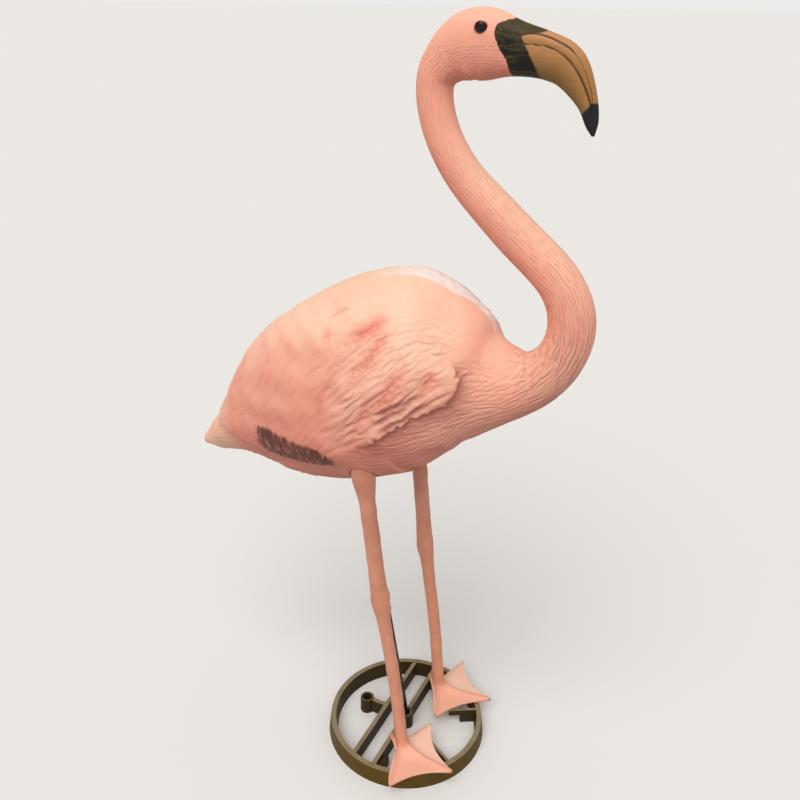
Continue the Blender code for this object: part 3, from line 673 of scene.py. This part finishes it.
def sculptBody():
    piece = roundedCopy("body", "bodySkin", 2)
    splitLongEdges(piece, bodyForm["foreZone"], bodyForm["foreEdge"])
    splitLongEdges(piece, bodyForm["wingZone"], bodyForm["wingEdge"])
    for middle, reach, rounds in bodyForm["folds"]:
        relax(piece, middle, reach, rounds)
    skin = startSkin(piece)
    place = skin["place"]
    facing = skin["facing"]
    flat = place[:, (0, 2)]
    side = np.abs(place[:, 1])
    line = bendLine(asMetres(spine), spineSteps)
    station = nearestStation(flat, line)
    stationShare = station / spineSteps
    spineAway, spineSide, spineAlong = fromLine(flat, line)
    onHead = smoothStep(stationShare, headStart - 0.6, headStart + 0.6)
    offBody = smoothStep(stationShare, neckStart - 1.2, neckStart + 0.3)
    offBody *= 1 - smoothStep(spineAway, 0.046, 0.058)
    offBody *= 1 - smoothStep(0.56 - flat[:, 1], 0.0, 0.06) * smoothStep(0.115 - flat[:, 0], 0.0, 0.03)
    onNeck = offBody * (1 - onHead)
    onBody = 1 - offBody
    way = featherWay(flat, line, station)
    flow = np.stack([way[:, 0], np.zeros(len(place)), way[:, 1]], 1)
    run = -np.gradient(line, axis=0)[station]
    spineFlow = np.stack([run[:, 0], np.zeros(len(place)), run[:, 1]], 1)
    spineFlow /= np.linalg.norm(spineFlow, axis=1)[:, None]
    sideOn = smoothStep(side, 0.015, 0.045)

    # wing: a stepped front edge, shadow under it, and long plumes with valleys between them
    away, turned, along = fromLine(flat, bendLine(asMetres(wing["frontEdge"]), 4))
    drift = along + 4 * mm * np.sin(along * 190) + 2 * mm * np.sin(along * 410 + 2)
    ragged = 1.3 * mm * np.sin(drift * 290) + 0.6 * mm * np.sin(drift * 540 + 1)
    inWing = away * turned + ragged
    upper = smoothStep(flat[:, 1], 0.548, 0.562)
    low = smoothStep(0.560 - flat[:, 1], 0.0, 0.06)
    front = smoothStep(flat[:, 0], -0.034, 0.012)
    wingStep = smoothStep(inWing, -1.6 * mm, 1.6 * mm) * np.exp(-np.clip(inWing, 0, 1) / 0.016)
    wingStep *= (1 - upper) * front
    undercut = bump(np.clip(-inWing, 0, 1) - 3 * mm, 5 * mm) * (inWing < 0) * (1 - upper) * front
    isWing = smoothStep(away * turned, -9 * mm, 12 * mm)
    # painted shade: under the wing's front edge, over the low strands and, below, in the gaps between them
    shade = bump(np.clip(-inWing, 0, 1), 4 * mm + 12 * mm * low) * (1 - upper) * (inWing < 0)
    shade = np.maximum(shade, low * bump(inWing, 5 * mm) * (1 - upper))
    shade = np.maximum(shade, 0.5 * low * bump(inWing, 16 * mm) * (1 - upper)) * (0.35 + 0.65 * front)

    plumeRed = np.zeros(len(place))
    valleyShade = np.zeros(len(place))
    lobes = np.zeros(len(place))
    for plume, strength in zip(wing["plumes"], wing["plumePaint"]):
        reach, across, run = fromLine(flat, bendLine(asMetres(plume), 5))
        whole = run.max() + 1e-6
        ends = smoothStep(run / whole, 0.0, 0.35) * (1 - 0.7 * smoothStep(run / whole, 0.6, 1.0))
        frayed = reach * across + 1.1 * mm * np.sin(run * 700 + 9 * strength) + 0.7 * mm * np.sin(run * 1900)
        plumeRed = np.maximum(plumeRed, strength * ends * bump(reach * (0.8 + 0.2 * (across > 0)), 7.5 * mm))
        valleyShade = np.maximum(valleyShade, strength * ends * bump(frayed - 1.0 * mm, 1.5 * mm))
        lobes -= bodyRelief["plumeCut"] * mm * strength * ends * bump(frayed - 1.0 * mm, 2.8 * mm)
        lobes += bodyRelief["plumeSwell"] * mm * strength * ends * bump(frayed + 8 * mm, 5 * mm)

    for gap in wing["gaps"]:
        reach, across, run = fromLine(flat, bendLine(asMetres(gap), 5))
        whole = run.max()
        ends = smoothStep(run / whole, 0.0, 0.3) * (1 - smoothStep(run / whole, 0.75, 1.0))
        frayed = reach * across + 0.9 * mm * np.sin(run * 230) + 0.3 * mm * np.sin(run * 900)
        lobes -= bodyRelief["gapCut"] * mm * ends * bump(frayed, 2.8 * mm)
        shade = np.maximum(shade, ends * bump(frayed, 3.6 * mm))
    for hair in wing["hairs"]:
        reach, _, run = fromLine(flat, bendLine(asMetres(hair), 5))
        ends = smoothStep(run / run.max(), 0.0, 0.2) * (1 - smoothStep(run / run.max(), 0.8, 1.0))
        valleyShade = np.maximum(valleyShade, 0.8 * ends * bump(reach, 1.3 * mm))
        lobes -= bodyRelief["hairCut"] * mm * ends * bump(reach, 1.3 * mm)

    crest = bendLine(asMetres(wing["ridge"]), 4)
    ridgeAway, _, _ = fromLine(place, crest)
    crestSide = np.interp(place[:, 0], crest[:, 0], crest[:, 1])
    farWing = smoothStep(place[:, 1] - crestSide, 0.0, 6 * mm) * (1 - smoothStep(place[:, 1], 0.012, 0.062))
    farWing *= smoothStep(place[:, 0], -0.06, 0.02) * (1 - smoothStep(place[:, 0], 0.070, 0.105))
    farWing *= smoothStep(flat[:, 1], 0.555, 0.590) * onBody

    # head: mouth, beak's lines, rim of the eye and the borders of its paint
    mouthAway, _, _ = fromLine(flat, bendLine(asMetres(beak["mouth"]), 4))
    upperAway, _, _ = fromLine(flat, bendLine(asMetres(beak["upperLine"]), 4))
    upperAway += 0.4 * mm * smoothStep(flat[:, 0], 0.136, 0.148)
    eyeAway = np.linalg.norm((place - eye["place"]) * eye["squash"], axis=1)
    eyeSide = smoothStep(side, 0.012, 0.015)
    pinkAway, pinkSide, _ = fromLine(flat, bendLine(asMetres(beak["pinkEdge"]), 4))
    tanAway, tanSide, _ = fromLine(flat, bendLine(asMetres(beak["tanEdge"]), 4))
    tipAway, tipSide, _ = fromLine(flat, bendLine(asMetres(beak["tipEdge"]), 4))
    offHead = (onHead < 0.5) | (flat[:, 1] < 0.75)
    beakBase = np.where(offHead, -0.05, -pinkAway * pinkSide)
    beakTan = np.where(offHead, -0.05, -tanAway * tanSide)
    beakTip = np.where(offHead, -0.05, -tipAway * tipSide)

    # zones that the strokes are cut in
    wingFront = onBody * isWing * smoothStep(flat[:, 0], -0.072, -0.022)
    wingFront *= smoothStep(0.612 - flat[:, 1], 0, 0.03)
    lowStrands = onBody * isWing * smoothStep(0.545 - flat[:, 1], 0, 0.022)
    lowStrands *= smoothStep(flat[:, 0], -0.065, -0.035)
    neckFoot = onNeck * smoothStep(0.62 - flat[:, 1], 0, 0.045)
    breast = np.maximum(onBody * (1 - isWing) * smoothStep(flat[:, 0], -0.055, 0.0), neckFoot)
    breast *= 1 - 0.85 * smoothStep(flat[:, 1], 0.545, 0.572) * smoothStep(0.120 - flat[:, 0], 0.0, 0.03)
    overEdge = smoothStep(inWing, -2 * mm, 10 * mm)

    byWing = smoothStep(0.118 - flat[:, 0], 0.0, 0.03)
    breastFlow = spineFlow * (1 - byWing[:, None]) + np.array(byWingWay) * byWing[:, None]
    engrave(skin, breast * smoothStep(0.150 - flat[:, 0], 0.0, 0.02), breastFlow, strokes["breast"], 3)
    strandFlow = flow * (1 - lowStrands[:, None]) + np.array(strandWay) * lowStrands[:, None]
    engrave(skin, lowStrands * sideOn * overEdge, strandFlow, strokes["strand"], 4)
    engrave(skin, wingFront * overEdge, flow, strokes["plume"], 5)
    print("feathers engraved")

    tall = {name: height * mm for name, height in bodyRelief.items()}
    extra = tall["skin"] * np.ones(len(place))
    extra += (tall["wingStep"] * wingStep - tall["underWing"] * undercut) * sideOn * onBody
    extra += lobes * sideOn * onBody
    extra += tall["wingWaves"] * waves(place, 0.030, 21) * onBody * isWing
    extra -= tall["beakLines"] * (bump(mouthAway, 1.1 * mm) + 0.7 * bump(upperAway, 1.1 * mm))
    extra += tall["eyeRim"] * bump(eyeAway - 7.2 * mm, 1.0 * mm) * eyeSide
    extra -= tall["crestCut"] * bump(ridgeAway, 1.8 * mm) * onBody
    extra += tall["farWingWaves"] * waves(place, 0.009, 22) * farWing
    spot, height, width = bodyForm["chinLump"]
    extra += height * mm * bump(np.linalg.norm(flat - spot, axis=1), width * mm) * (facing[:, 2] < 0.1)
    underside = smoothStep(-facing[:, 2], 0.1, 0.6)
    for spot, height, width in bodyForm["bellyLumps"]:
        extra += height * mm * bump(np.linalg.norm(flat - spot, axis=1), width * mm) * underside

    # ends of the feathers over the tail, and their ragged edge along the belly
    rearAway, rearTurned, rearAlong = fromLine(flat, bendLine(asMetres(wing["rearEnd"]), 4))
    rearTeeth = 1.6 * mm * np.sin(rearAlong * 700)
    overTail = smoothStep(rearAway * -rearTurned + rearTeeth, -1.0 * mm, 1.6 * mm)
    nearTail = smoothStep(-flat[:, 0], 0.150, 0.170)
    extra += tall["rearStep"] * overTail * np.exp(-rearAway / 0.012) * nearTail * onBody
    bellyAway, bellyTurned, bellyAlong = fromLine(flat, bendLine(asMetres(wing["bellyEdge"]), 4))
    teeth = 2.0 * mm * np.sin(bellyAlong * 620) + 1.2 * mm * np.sin(bellyAlong * 1450 + 2)
    overBelly = smoothStep(bellyAway * -bellyTurned + teeth, -1.2 * mm, 1.2 * mm) * bump(bellyAway, 14 * mm)
    underRear = smoothStep(-flat[:, 0], 0.055, 0.085) * (1 - smoothStep(-flat[:, 0], 0.195, 0.21))
    extra += tall["bellyStep"] * overBelly * underRear * onBody

    bandDepth = insideOutline(flat, asMetres(wing["band"]))
    paints = {
        "wingLie": featherLieOf(place, line),
        "neckLie": np.stack([spineAlong, spineAway * spineSide, place[:, 1]], 1),
        "stroke": skin["stroke"],
        "plumeRed": plumeRed * sideOn * onBody,
        "valleyShade": valleyShade * sideOn * onBody,
        "wingShade": shade * sideOn * onBody,
        "onWing": isWing * onBody,
        "wingFront": wingFront * overEdge * (0.35 + 0.65 * smoothStep(flat[:, 1], 0.470, 0.520)),
        "rear": onBody * smoothStep(-flat[:, 0], 0.015, 0.065) * sideOn,
        "strands": lowStrands * sideOn * overEdge,
        "farWing": farWing,
        "breast": breast,
        "breastFine": breast * (1 - 0.75 * byWing),
        "neckShare": onNeck * (0.5 + 0.5 * smoothStep(-stationShare, -14.8, -9.5)),
        "cheek": onHead * smoothStep(0.850 - flat[:, 1], 0.0, 0.018) * (beakBase < -0.0005),
        "beakBase": beakBase,
        "beakTan": beakTan,
        "beakTip": beakTip,
        "beakLine": np.minimum(mouthAway, upperAway),
        "band": np.where(side > 0.03, bandDepth, -0.05),
    }
    finishSkin(skin, extra, paints)
    return piece


bodyColours = {
    "salmon": (0.98, 0.385, 0.275),
    "rosy": (0.83, 0.280, 0.200),
    "cream": (0.97, 0.66, 0.475),
    "rose": (0.88, 0.285, 0.210),
    "farWingPaintedLight": (1.0, 0.87, 0.83),
    "paintedShade": (0.37, 0.115, 0.095),
    "groove": (0.46, 0.145, 0.100),
    "band": (0.130, 0.043, 0.032),
    "beakBase": (0.006, 0.005, 0.002),
    "beakBasePaleAndTopLight": (0.090, 0.066, 0.020),
    "tan": (0.44, 0.205, 0.070),
    "tanShadeAndStreaks": (0.25, 0.135, 0.042),
    "tanTopLight": (0.58, 0.275, 0.120),
    "beakLine": (0.075, 0.027, 0.008),
    "tip": (0.013, 0.014, 0.014),
    "eye": (0.020, 0.006, 0.007),
    "eyeRing": (0.30, 0.09, 0.07),
}


def bodyMaterial():
    tree, shader, material = newMaterial("pinkPaintedPlastic")
    colour = bodyColours
    grain = grainIn(tree, 950.0, 17.0, 1.0)
    cloud = grain.outputs["Cloud"]
    facing = addNode(tree, "SeparateXYZ", inputs={"Vector": addNode(tree, "NewGeometry").outputs["Normal"]})
    upward = facing.outputs["Z"]
    onWing = readPaint(tree, "onWing")
    wingFront = readPaint(tree, "wingFront")
    strands = readPaint(tree, "strands")
    breast = readPaint(tree, "breast")

    # finer strokes that run with the feathers, and how strongly each zone takes them
    ripple, swell = strokesIn(tree, "neckLie", 0.022, 0.0120, 0.0052, 2.2)
    fineRipple, _ = strokesIn(tree, "neckLie", 0.016, 0.0080, 0.0036, 1.8)
    hair, _ = strokesIn(tree, "wingLie", 0.060, 0.0090, 0.0064, 2.4)
    tick, _ = strokesIn(tree, "neckLie", 0.008, 0.0050, 0.0030, 1.6)
    short, _ = strokesIn(tree, "wingLie", 0.028, 0.0100, 0.0078, 1.2)
    rearSide = times(tree, readPaint(tree, "rear"), ramp(tree, upward, 0.75, 0.35))
    zones = ((ripple, readPaint(tree, "breastFine"), 0.9), (fineRipple, readPaint(tree, "neckShare"), 0.65),
             (hair, wingFront, 0.45), (hair, strands, 0.25), (hair, onWing, 0.14),
             (tick, readPaint(tree, "cheek"), 0.5), (short, rearSide, 0.42))
    fine = 0.0
    for mask, zone, share in zones:
        fine = sums(tree, "MAXIMUM", fine, times(tree, times(tree, mask, zone), share))
    # painted shade: the grooves of the cut and fine strokes
    groove = sums(tree, "MAXIMUM", times(tree, fine, 0.8), readPaint(tree, "stroke"))

    # cream: painted light on surfaces that face up and on the front of the breast, over cloudy cream paint
    # and a cream tail end; rosier towards the rear
    topLight = ramp(tree, upward, -0.45, 0.95)
    creamAndTopLight = times(tree, topLight, ramp(tree, cloud, 0.25, 0.7, 0.6, 1.0))
    creamAndTopLight = times(tree, creamAndTopLight, ramp(tree, onWing, 0.0, 1.0, 0.64, 1.0))
    offRear = sums(tree, "SUBTRACT", 1.0, times(tree, rearSide, 0.6))
    creamAndTopLight = times(tree, creamAndTopLight, offRear)
    where = addNode(tree, "TexCoord").outputs["Object"]
    lengthOn = addNode(tree, "SeparateXYZ", inputs={"Vector": where}).outputs["X"]
    creamAndTopLight = sums(tree, "MAXIMUM", creamAndTopLight, ramp(tree, lengthOn, -0.190, -0.230, 0.0, 0.55))
    heightOn = addNode(tree, "SeparateXYZ", inputs={"Vector": where}).outputs["Z"]
    # painted light: the front of the breast, above the belly, is painted paler
    breastLight = times(tree, ramp(tree, heightOn, 0.440, 0.490), ramp(tree, lengthOn, 0.000, 0.060))
    breastPaintedLight = times(tree, times(tree, breast, breastLight), 0.28)
    creamAndTopLight = sums(tree, "MAXIMUM", creamAndTopLight, breastPaintedLight)
    rosyAmount = sums(tree, "MAXIMUM", ramp(tree, cloud, 0.40, 0.70, 0.0, 0.7), times(tree, rearSide, 0.8))
    pink = blendColours(tree, rosyAmount, colour["salmon"], colour["rosy"])
    base = blendColours(tree, creamAndTopLight, pink, colour["cream"])
    lobeCream = times(tree, wingFront, ramp(tree, cloud, 0.3, 0.65, 0.42, 0.16))
    base = blendColours(tree, lobeCream, base, colour["cream"])
    red = times(tree, readPaint(tree, "plumeRed"), ramp(tree, cloud, 0.2, 0.7, 0.8, 1.0), clamp=True)
    base = blendColours(tree, red, base, colour["rose"])
    # painted light: the far wing's strip beyond the ridge is painted near white, as if lit from above
    base = blendColours(tree, times(tree, readPaint(tree, "farWing"), 0.85), base, colour["farWingPaintedLight"])
    # painted shade: surfaces that face down, ahead of the tail, are painted mauve
    paintedUnderShade = times(tree, ramp(tree, upward, -0.1, -0.85), ramp(tree, lengthOn, -0.21, -0.17, 0.0, 0.36))
    base = blendColours(tree, paintedUnderShade, base, colour["paintedShade"])
    # painted shade: mauve under the wing's edge and in the gaps of its strands
    shaded = times(tree, readPaint(tree, "wingShade"), 0.70)
    base = blendColours(tree, shaded, base, colour["paintedShade"])
    # painted shade: darker in the plume valleys, the hair lines and the cut strokes, where shade falls in the
    # grooves
    base = blendColours(tree, times(tree, readPaint(tree, "valleyShade"), 0.42), base, colour["groove"])
    base = blendColours(tree, times(tree, groove, 0.42), base, colour["groove"])

    # dark band of the flight feathers
    streaks = stretchedNoise(tree, 260.0, 3.0, (1.0, 1.0, 0.10), (0, math.radians(14), 0))
    frayed = sums(tree, "MULTIPLY_ADD", streaks, 0.010, readPaint(tree, "band"))
    bandMask = ramp(tree, frayed, 0.0025, 0.0090)
    bandMask = times(tree, bandMask, ramp(tree, streaks, 0.30, 0.55, 0.55, 1.0))
    base = blendColours(tree, bandMask, base, colour["band"])

    # beak: dark base, tan middle, dark tip and the two lines
    lengthwise = stretchedNoise(tree, 420.0, 3.0, (0.10, 1.0, 1.0))
    edgeNoise = times(tree, sums(tree, "SUBTRACT", lengthwise, 0.5), 0.0025)
    baseMask = ramp(tree, sums(tree, "ADD", readPaint(tree, "beakBase"), edgeNoise), -0.0004, 0.0006)
    olive = blendColours(tree, ramp(tree, lengthwise, 0.45, 0.75), colour["beakBase"],
                         colour["beakBasePaleAndTopLight"])
    # painted light: the dark base is paler where it faces up
    olive = blendColours(tree, ramp(tree, upward, 0.0, 0.6, 0.0, 0.6), olive, colour["beakBasePaleAndTopLight"])
    tanAway = readPaint(tree, "beakTan")
    tanMask = ramp(tree, sums(tree, "ADD", tanAway, times(tree, edgeNoise, 0.6)), -0.0006, 0.0012)
    # painted shade and painted light: the tan is darker where it faces down and paler where it faces up; the
    # streaks below are the tan's own
    tan = blendColours(tree, ramp(tree, upward, -0.5, 0.15), colour["tanShadeAndStreaks"], colour["tan"])
    tan = blendColours(tree, ramp(tree, upward, 0.1, 0.8), tan, colour["tanTopLight"])
    tan = blendColours(tree, ramp(tree, lengthwise, 0.35, 0.75, 0.0, 0.35), tan, colour["tanShadeAndStreaks"])
    beakColour = blendColours(tree, tanMask, olive, tan)
    lineMask = ramp(tree, readPaint(tree, "beakLine"), 0.0011, 0.0003)
    beakColour = blendColours(tree, times(tree, lineMask, 0.95), beakColour, colour["beakLine"])
    tipNoise = times(tree, sums(tree, "SUBTRACT", cloud, 0.5), 0.006)
    tipMask = ramp(tree, sums(tree, "ADD", readPaint(tree, "beakTip"), tipNoise), -0.0008, 0.0012)
    beakColour = blendColours(tree, tipMask, beakColour, colour["tip"])
    base = blendColours(tree, baseMask, base, beakColour)

    eyeOut = addNode(tree, "VectorMath", {0: where, 1: eye["place"]}, operation="SUBTRACT")
    squashed = addNode(tree, "VectorMath", {0: eyeOut.outputs[0], 1: eye["squash"]}, operation="MULTIPLY")
    eyeAway = addNode(tree, "VectorMath", {0: squashed.outputs[0]}, operation="LENGTH").outputs["Value"]
    base = blendColours(tree, times(tree, ramp(tree, eyeAway, 0.0070, 0.0060), 0.6), base, colour["eyeRing"])
    eyeMask = ramp(tree, eyeAway, 0.0062, 0.0057)
    base = blendColours(tree, eyeMask, base, colour["eye"])
    tree.links.new(base, shader.inputs["Base Color"])

    rough = ramp(tree, cloud, 0.2, 0.8, 0.66, 0.54)
    rough = addNode(tree, "Mix", data_type="FLOAT", inputs={0: baseMask, 2: rough, 3: 0.52}).outputs[0]
    rough = addNode(tree, "Mix", data_type="FLOAT", inputs={0: eyeMask, 2: rough, 3: 0.12}).outputs[0]
    tree.links.new(rough, shader.inputs["Roughness"])
    shader.inputs["Specular IOR Level"].default_value = 0.24

    relief = times(tree, grain.outputs["Height"], 0.16)
    swelling = times(tree, swell, times(tree, readPaint(tree, "breastFine"), 0.8))
    relief = sums(tree, "ADD", relief, swelling)
    relief = sums(tree, "SUBTRACT", relief, times(tree, fine, 0.8))
    relief = sums(tree, "SUBTRACT", relief, times(tree, lineMask, 0.4))
    beakFibres = times(tree, times(tree, lengthwise, baseMask), 0.2)
    relief = sums(tree, "ADD", relief, beakFibres)
    relief = times(tree, relief, sums(tree, "SUBTRACT", 1.0, eyeMask))
    dents = addNode(tree, "Bump", inputs={"Height": relief, "Strength": 0.9, "Distance": 0.001})
    tree.links.new(dents.outputs["Normal"], shader.inputs["Normal"])
    return material


body = sculptBody()
wearMaterial(body, bodyMaterial())
standFor(body, "body")
print("body is carved and painted")


# legs and feet

# the left leg: the ankle from above and the toe tips measured from it, in metres
# lumps of its joint: place, height and width in mm
leg = {
    "ankle": (0.0205, 0.0570),
    "toes": {"mid": (0.0735, 0.0085), "outer": (0.0130, 0.0590), "inner": (0.0195, -0.0495),
             "hind": (-0.0140, 0.0010)},
    "jointBumps": (((3.0, 57.0, 257.0), 2.6, 5.0), ((4.5, 58.0, 240.0), 2.2, 4.5),
                   ((-20.0, 63.0, 244.0), 1.8, 9.0)),
    "ribPitch": 0.0046,
    "knucklePitch": 0.0048,
}

# how far each feature of a leg stands up or is cut in, in mm
legRelief = {"thighRibs": 0.55, "shankRibs": 0.28, "waves": 0.22, "knuckles": 0.18, "toes": 0.9, "webs": 0.25}


def sculptLeg(node, name, sign):
    piece = roundedCopy(node, name, 2)
    skin = startSkin(piece)
    place = skin["place"]
    facing = skin["facing"]
    up = place[:, 2]
    own = place * (1, sign, 1)      # as if it were the left leg
    tall = {feature: height * mm for feature, height in legRelief.items()}
    extra = np.zeros(len(place))
    for spot, height, width in leg["jointBumps"]:
        extra += height * mm * bump(np.linalg.norm(own - asMetres(spot), axis=1), width * mm)
    onThigh = smoothStep(up, 0.285, 0.300) * (1 - smoothStep(up, 0.385, 0.400))
    onShank = smoothStep(up, 0.055, 0.075) * (1 - smoothStep(up, 0.215, 0.230))
    front = smoothStep(facing[:, 0] * 0.9 + facing[:, 1] * sign * 0.1, 0.35, 0.8)
    uneven = 0.6 * waves(place, 0.02, 31)
    ribs = np.abs(np.sin(up * math.pi / leg["ribPitch"] + uneven))
    extra += tall["thighRibs"] * (ribs - 0.5) * onThigh * front
    fineRibs = np.abs(np.sin(up * math.pi / (leg["ribPitch"] * 0.8) + uneven))
    extra += tall["shankRibs"] * (fineRibs - 0.5) * onShank * front
    extra += tall["waves"] * waves(place, 0.012, 32) * smoothStep(up, 0.03, 0.05)

    plan = own[:, :2] - np.array(leg["ankle"])
    onFoot = 1 - smoothStep(up, 0.030, 0.040)
    topSide = smoothStep(facing[:, 2], 0.0, 0.5)
    ridge = np.zeros(len(place))
    for tip in leg["toes"].values():
        tip = np.array(tip)
        along = np.clip(plan @ tip / (tip @ tip), 0, 1)
        reach = np.linalg.norm(plan - along[:, None] * tip, axis=1)
        ridge = np.maximum(ridge, bump(reach, 1.7 * mm) * smoothStep(along, 0.05, 0.25))
        knuckles = np.abs(np.sin(along * np.linalg.norm(tip) * math.pi / leg["knucklePitch"]))
        extra += tall["knuckles"] * (knuckles - 0.6) * bump(reach, 2.6 * mm) * onFoot * topSide
    extra += tall["toes"] * ridge * onFoot * topSide
    extra -= tall["webs"] * (1 - ridge) * onFoot * topSide
    midTip = np.array(leg["toes"]["mid"])
    crossMid = plan[:, 0] * midTip[1] - plan[:, 1] * midTip[0]
    # painted light: on both feet the side of the middle toe towards the bird's left is painted paler
    paintedLightWeb = smoothStep(-sign * crossMid / np.linalg.norm(midTip), 1.5 * mm, 5 * mm) * onFoot
    paints = {"foot": onFoot, "ridge": ridge * onFoot, "paintedLightWeb": paintedLightWeb}
    finishSkin(skin, extra, paints)
    return piece


legColours = {
    "shank": (0.69, 0.278, 0.170),
    "thigh": (0.61, 0.235, 0.148),
    "foot": (0.88, 0.43, 0.30),
    "web": (0.93, 0.60, 0.46),
    "ridge": (0.66, 0.23, 0.15),
}


def legMaterial():
    tree, shader, material = newMaterial("legPinkPlastic")
    colour = legColours
    grain = grainIn(tree, 1100.0, 38.0, 0.4)
    cloud = grain.outputs["Cloud"]
    spot = addNode(tree, "TexCoord").outputs["Object"]
    heightOn = addNode(tree, "SeparateXYZ", inputs={"Vector": spot}).outputs["Z"]
    base = blendColours(tree, ramp(tree, heightOn, 0.12, 0.34), colour["shank"], colour["thigh"])
    base = blendColours(tree, ramp(tree, cloud, 0.35, 0.75, 0.0, 0.35), base, colour["foot"])
    foot = readPaint(tree, "foot")
    base = blendColours(tree, foot, base, colour["foot"])
    # painted light: the paler side of each foot
    base = blendColours(tree, times(tree, readPaint(tree, "paintedLightWeb"), 0.8), base, colour["web"])
    base = blendColours(tree, times(tree, readPaint(tree, "ridge"), 0.35), base, colour["ridge"])
    tree.links.new(base, shader.inputs["Base Color"])
    tree.links.new(ramp(tree, cloud, 0.2, 0.8, 0.60, 0.48), shader.inputs["Roughness"])
    rings = stretchedNoise(tree, 420.0, 2.0, (0.5, 0.5, 1.4))
    relief = sums(tree, "ADD", grain.outputs["Height"], rings)
    dents = addNode(tree, "Bump", inputs={"Height": relief, "Strength": 0.3, "Distance": 0.0006})
    tree.links.new(dents.outputs["Normal"], shader.inputs["Normal"])
    return material


legPaint = legMaterial()
for node, name, sign in (("right_leg", "rightLegSkin", -1), ("left_leg", "leftLegSkin", 1)):
    legPiece = sculptLeg(node, name, sign)
    wearMaterial(legPiece, legPaint)
    standFor(legPiece, node)
print("legs are ribbed and painted")


# base ring and rod

ring = {
    "edge": 0.00045,
    "rimHeight": 0.0216,
    "rimOuter": 0.0995,
    "sockets": ((0, 0, 0), (-0.059, 0, 0)),
    "colour": (0.105, 0.056, 0.004),
    "paintedTopLight": (0.270, 0.210, 0.120),
    "dark": (0.040, 0.023, 0.005),
    "rough": 0.55,
}

rodLook = {
    "colour": (0.020, 0.014, 0.008),
    "paintedTopLight": (0.03, 0.02, 0.012),
    "dark": (0.020, 0.014, 0.008),
    "rough": 0.45,
}


def makeRing():
    shape = bmesh.new()
    shape.from_mesh(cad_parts["base_ring"].data)
    bmesh.ops.remove_doubles(shape, verts=shape.verts, dist=1e-5)
    bmesh.ops.dissolve_limit(shape, angle_limit=math.radians(0.5), verts=shape.verts, edges=shape.edges)
    mesh = bpy.data.meshes.new("baseRingSkin")
    shape.to_mesh(mesh)
    shape.free()
    piece = bpy.data.objects.new("baseRingSkin", mesh)
    scene.collection.objects.link(piece)
    rounded = piece.modifiers.new("rounded edges", "BEVEL")
    rounded.width = ring["edge"]
    rounded.segments = 2
    rounded.limit_method = "ANGLE"
    rounded.angle_limit = math.radians(40)
    mesh.shade_smooth()
    mesh.set_sharp_from_angle(angle=math.radians(30))
    return piece


def ringMaterial(name, look):
    # painted shade: dark inside; brown on the outer wall; painted light: pale on the rim and the tops of the
    # bars, where they face up
    tree, shader, material = newMaterial(name)
    grain = grainIn(tree, 700.0, 45.0, 0.5)
    cloud = grain.outputs["Cloud"]
    facing = addNode(tree, "SeparateXYZ", inputs={"Vector": addNode(tree, "NewGeometry").outputs["Normal"]})
    spot = addNode(tree, "TexCoord").outputs["Object"]
    where = addNode(tree, "SeparateXYZ", inputs={"Vector": spot})

    def awayFrom(middle):
        out = addNode(tree, "VectorMath", {0: spot, 1: middle}, operation="SUBTRACT").outputs[0]
        level = addNode(tree, "VectorMath", {0: out, 1: (1, 1, 0)}, operation="MULTIPLY").outputs[0]
        return addNode(tree, "VectorMath", {0: level}, operation="LENGTH").outputs["Value"]

    across = awayFrom((0, 0, 0))
    # painted shade: all but the outer wall takes the dark colour
    outerWall = ramp(tree, across, ring["rimOuter"] - 0.002, ring["rimOuter"])
    colour = blendColours(tree, outerWall, look["dark"], look["colour"])
    colour = blendColours(tree, ramp(tree, cloud, 0.38, 0.72, 0.0, 0.45), colour, look["dark"])
    # painted light: paler where the rim and the bars face up, less so by the sockets
    paintedTopLight = times(tree, ramp(tree, facing.outputs["Z"], 0.55, 0.95),
                 ramp(tree, where.outputs["Z"], ring["rimHeight"] - 0.002, ring["rimHeight"] - 0.001))
    for middle in ring["sockets"]:
        paintedTopLight = times(tree, paintedTopLight, ramp(tree, awayFrom(middle), 0.0085, 0.0105, 0.25, 1.0))
    paintedTopLight = times(tree, paintedTopLight, ramp(tree, cloud, 0.30, 0.60, 0.70, 1.0))
    colour = blendColours(tree, paintedTopLight, colour, look["paintedTopLight"])
    tree.links.new(colour, shader.inputs["Base Color"])
    rough = ramp(tree, cloud, 0.2, 0.8, look["rough"] + 0.08, look["rough"] - 0.05)
    tree.links.new(rough, shader.inputs["Roughness"])
    shader.inputs["Specular IOR Level"].default_value = 0.22
    dents = addNode(tree, "Bump", inputs={"Height": grain.outputs["Height"], "Strength": 0.3,
                                          "Distance": 0.0008})
    tree.links.new(dents.outputs["Normal"], shader.inputs["Normal"])
    return material


baseRing = makeRing()
wearMaterial(baseRing, ringMaterial("oliveBrownPlastic", ring))
standFor(baseRing, "base_ring")

rod = roundedCopy("support_rod", "supportRodSkin", 2)
rod.data.shade_smooth()
wearMaterial(rod, ringMaterial("blackBrownPlastic", rodLook))
standFor(rod, "support_rod")
print("base ring and rod are finished")
